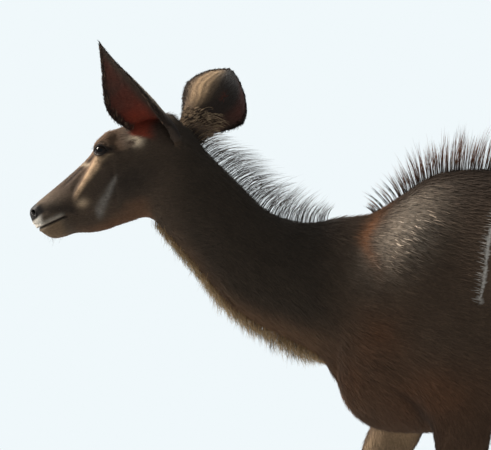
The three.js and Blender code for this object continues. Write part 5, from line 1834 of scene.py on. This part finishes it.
class KUDU_OT_manes(bpy.types.Operator):
    """Builds the nape mane, the crest of the back, the throat fringe, the tail tuft and the ear hair"""

    bl_idname = "kudu.manes"
    bl_label = "Manes"

    def execute(self, context):
        rng = np.random.default_rng(23)
        coarse = hair_material("mane_hair", 0.55, 0.15)
        u, guides = line_guides(rng, 150, nape_root, nape_length, nape_rise, nape_sweep, 4)
        mane_piece("nape_mane", rng, guides, u, 6, (1.5, 1.0), 6, 0.6, nape_colours, coarse, 0.9, 0.035)
        u, guides = line_guides(rng, 250, crest_root, crest_length, crest_rise, crest_sweep, 4.5)
        kept = rng.random(len(u)) > 0.65 * smoothstep(0.16, 0.05, u)
        guides = tuple(part[kept] for part in guides)
        u = u[kept]
        mane_piece("back_crest", rng, guides, u, 10, (1.7, 1.4), 5, 0.8, crest_colours, coarse, 0.9, 0.05)
        u, guides = line_guides(rng, 260, fringe_root, fringe_length, fringe_rise, fringe_sweep, 9)
        mane_piece("throat_fringe", rng, guides, u, 15, (5.0, 7.5), 4, 0.6, fringe_colours, coarse, 0.3, 0.24)
        u, guides = tail_guides(rng, 170)
        mane_piece("tail_tuft", rng, guides, u, 20, (3.2, 3.2), 4, 1.9, tail_colours, coarse, 0.45, 0.06)
        ear_hair(rng, coarse)
        return {"FINISHED"}


def lash_roots(settings, rng):
    """Roots, directions and lengths of the lashes along both upper lids."""
    for side in (-1, 1):
        out, forward, rise = eye_frame(side)
        for k in range(settings.lashes):
            a = -13 + 27 * (k + rng.random()) / settings.lashes
            edge = LID_TOP * (1 - (a / (LID_LENGTH / 2)) ** 2)
            b = edge + 1.0 + rng.random() * 0.8
            c = math.sqrt(max(19.4**2 - a * a - b * b, 1))
            root = EYES[side] + forward * a + rise * b + out * (c - 0.8)
            way = out + forward * 0.03 * a + rise * (0.15 + 0.25 * rng.random()) - DOWN_UP * 0.25
            yield root, way, settings.lash_length * (0.75 + 0.4 * rng.random())


def whisker_roots(settings, rng):
    """Roots, directions and lengths of the whiskers on both sides of the muzzle and chin."""
    for side in (-1, 1):
        for k in range(settings.whiskers):
            s = rng.uniform(240, 292)
            h = rng.uniform(-24, -8) if k % 2 else rng.uniform(-62, -38)
            start = head_point(s - 6, side * 2, min(max(h, -50), -12))
            way = unit(SIDE * side + HEAD_ALONG * rng.uniform(-0.1, 0.6) + HEAD_UP * (h + 20) / 60)
            skin = cast(hide, start, way, far=70, step=2)[0]
            yield start + way * (skin - 1), way + HEAD_ALONG * 0.3 - DOWN_UP * 0.35, rng.uniform(12, 26)


class KUDU_OT_bristles(bpy.types.Operator):
    """Stands the lashes on the upper lids and the whiskers on the muzzle and chin"""

    bl_idname = "kudu.bristles"
    bl_label = "Lashes and whiskers"

    def execute(self, context):
        settings = context.scene.kudu_face
        rng = np.random.default_rng(31)
        finish = grained("lash", (700, 0.6, 1.4), colour=linear((34, 27, 23)), Roughness=0.4)
        for name, source, thickness, bend in (
            ("eyelashes", lash_roots, 0.32, 0.1),
            ("whiskers", whisker_roots, 0.22, 0.25),
        ):
            roots, ways, sizes = (list(part) for part in zip(*source(settings, rng)))
            made = bristles(name, np.array(roots), np.array(ways), sizes, thickness, bend, finish)
            finish_piece(made, "coat")
        return {"FINISHED"}


class KUDU_OT_stage(bpy.types.Operator):
    """Sets the pale floor, the soft lights and the camera at the photograph's framing"""

    bl_idname = "kudu.stage"
    bl_label = "Stage, lights and camera"

    def execute(self, context):
        settings = context.scene.kudu_stage
        scene = context.scene
        angle = np.linspace(0, 2 * math.pi, 96, endpoint=False)
        rim = np.stack([7.5 * np.cos(angle), 7.5 * np.sin(angle), 0 * angle], 1)
        mesh = bpy.data.meshes.new("studio_floor")
        mesh.from_pydata([tuple(v) for v in rim], [], [list(range(96))])
        floor = bpy.data.objects.new("studio_floor", mesh)
        scene.collection.objects.link(floor)
        finish = grained("pale_floor", (3, 0.97, 1.03), colour=settings.floor_colour, Roughness=0.9)
        mesh.materials.append(finish)
        world = bpy.data.worlds.new("pale_studio")
        world.use_nodes = True
        backdrop = world.node_tree.nodes["Background"]
        backdrop.inputs["Color"].default_value = (*linear((240, 248, 251)), 1)
        # the surroundings are brightest beyond the animal, as in the photograph
        tree = world.node_tree
        place = node(tree, "ShaderNodeTexCoord")
        parts = node(tree, "ShaderNodeSeparateXYZ")
        tree.links.new(place.outputs["Generated"], parts.inputs[0])
        shares = {"From_Min": -0.1, "From_Max": 0.95, "To_Min": settings.shade, "To_Max": settings.backdrop}
        reach = node(tree, "ShaderNodeMapRange", **shares)
        tree.links.new(parts.outputs["Y"], reach.inputs["Value"])
        tree.links.new(reach.outputs["Result"], backdrop.inputs["Strength"])
        scene.world = world
        scene.view_settings.view_transform = "Standard"

        def lamp(name, place, target, size, power, colour):
            light = bpy.data.lights.new(name, "AREA")
            light.shape, light.size, light.energy, light.color = "DISK", size, power, colour
            made = bpy.data.objects.new(name, light)
            made.location = place
            made.rotation_euler = (Vector(target) - Vector(place)).to_track_quat("-Z", "Y").to_euler()
            scene.collection.objects.link(made)

        lamp("key_from_beyond_left", (-4.5, 0.9, 4.0), (-0.5, 0, 1.1), 1.1, settings.key, (1, 0.92, 0.82))
        lamp("rim_from_behind", (0.6, 4.2, 4.0), (-0.2, 0, 1.2), 1.8, settings.rim, (1.0, 0.97, 0.92))
        lamp("fill_from_camera", (0.5, -6.5, 2.2), (-0.1, 0, 0.9), 4.0, settings.fill, (0.95, 0.98, 1.0))

        # the camera looks at the middle of the photograph's frame
        wide, high = PHOTO_SIZE
        column, row = PHOTO_ORIGIN
        middle = to_world([(wide / 2 - column) * PIXEL, 0, (row - high / 2) * PIXEL])
        distance = settings.distance
        camera = bpy.data.cameras.new("camera")
        camera.sensor_fit = "HORIZONTAL"
        camera.sensor_width = 36
        camera.lens = camera.sensor_width * distance / (wide * PIXEL / 1000)
        camera.clip_end = 100
        made = bpy.data.objects.new("camera", camera)
        made.location = (middle[0], -distance, middle[2])
        made.rotation_euler = (math.pi / 2, 0, 0)
        scene.collection.objects.link(made)
        scene.camera = made
        return {"FINISHED"}


class KuduCoatSettings(bpy.types.PropertyGroup):
    """Colours and amounts of the coat"""

    tufts: IntProperty(name="Tufts", description="Tufts of the short coat", default=190000, min=1000)
    hoof_rings: IntProperty(name="Hoof rings", description="Growth rings on each hoof", default=9, min=0)
    flank_colour: FloatVectorProperty(
        name="Flank", description="Colour of the flank", subtype="COLOR", default=tuple(linear((76, 61, 49)))
    )
    face_colour: FloatVectorProperty(
        name="Face", description="Colour of the cheek", subtype="COLOR", default=tuple(linear((68, 56, 46)))
    )


class KuduFaceSettings(bpy.types.PropertyGroup):
    """Sizes and colours of the face"""

    cornea: FloatProperty(name="Cornea", description="How far it stands out, in millimetres", default=1.2)
    lashes: IntProperty(name="Lashes", description="Lashes on each upper lid", default=44, min=0)
    lash_length: FloatProperty(name="Lash length", description="In millimetres", default=10.5)
    whiskers: IntProperty(name="Whiskers", description="Whiskers on each side", default=14, min=0)
    iris_colour: FloatVectorProperty(
        name="Iris", description="Colour of the iris", subtype="COLOR", default=(0.013, 0.007, 0.005)
    )


class KuduStageSettings(bpy.types.PropertyGroup):
    """Light and floor of the studio"""

    distance: FloatProperty(name="Distance", description="Camera distance", default=12.0, unit="LENGTH")
    backdrop: FloatProperty(name="Backdrop", description="Brightness of the pale surroundings", default=1.0)
    shade: FloatProperty(name="Shade", description="Their brightness on the camera's side", default=0.42)
    key: FloatProperty(name="Key", description="Light from beyond, on the left", default=520, unit="POWER")
    rim: FloatProperty(name="Rim", description="Light from behind", default=120, unit="POWER")
    fill: FloatProperty(name="Fill", description="Light from beside the camera", default=6, unit="POWER")
    floor_colour: FloatVectorProperty(
        name="Floor", description="Colour of the floor", subtype="COLOR", default=(0.58, 0.58, 0.57)
    )


STEPS = (
    KUDU_OT_skin,
    KUDU_OT_eyes,
    KUDU_OT_hooves,
    KUDU_OT_coat,
    KUDU_OT_manes,
    KUDU_OT_bristles,
    KUDU_OT_stage,
)


class KUDU_PT_sidebar(bpy.types.Panel):
    """The sidebar's list of the kudu's pieces and settings"""

    bl_idname = "KUDU_PT_sidebar"
    bl_label = "Greater kudu"
    bl_space_type = "VIEW_3D"
    bl_region_type = "UI"
    bl_category = "Kudu"

    def draw(self, context):
        for step in STEPS:
            self.layout.operator(step.bl_idname)
        for group in (context.scene.kudu_coat, context.scene.kudu_face, context.scene.kudu_stage):
            box = self.layout.box()
            for name in group.bl_rna.properties.keys():
                if name not in ("rna_type", "name"):
                    box.prop(group, name)


GROUPS = {"kudu_coat": KuduCoatSettings, "kudu_face": KuduFaceSettings, "kudu_stage": KuduStageSettings}


def register():
    for kind in (*GROUPS.values(), *STEPS, KUDU_PT_sidebar):
        bpy.utils.register_class(kind)
    for name, kind in GROUPS.items():
        setattr(bpy.types.Scene, name, PointerProperty(type=kind))


def unregister():
    for name in GROUPS:
        delattr(bpy.types.Scene, name)
    for kind in (KUDU_PT_sidebar, *reversed(STEPS), *GROUPS.values()):
        bpy.utils.unregister_class(kind)


def main():
    register()
    for step in STEPS:
        group, name = step.bl_idname.split(".")
        getattr(getattr(bpy.ops, group), name)()


if __name__ == "__main__":
    main()
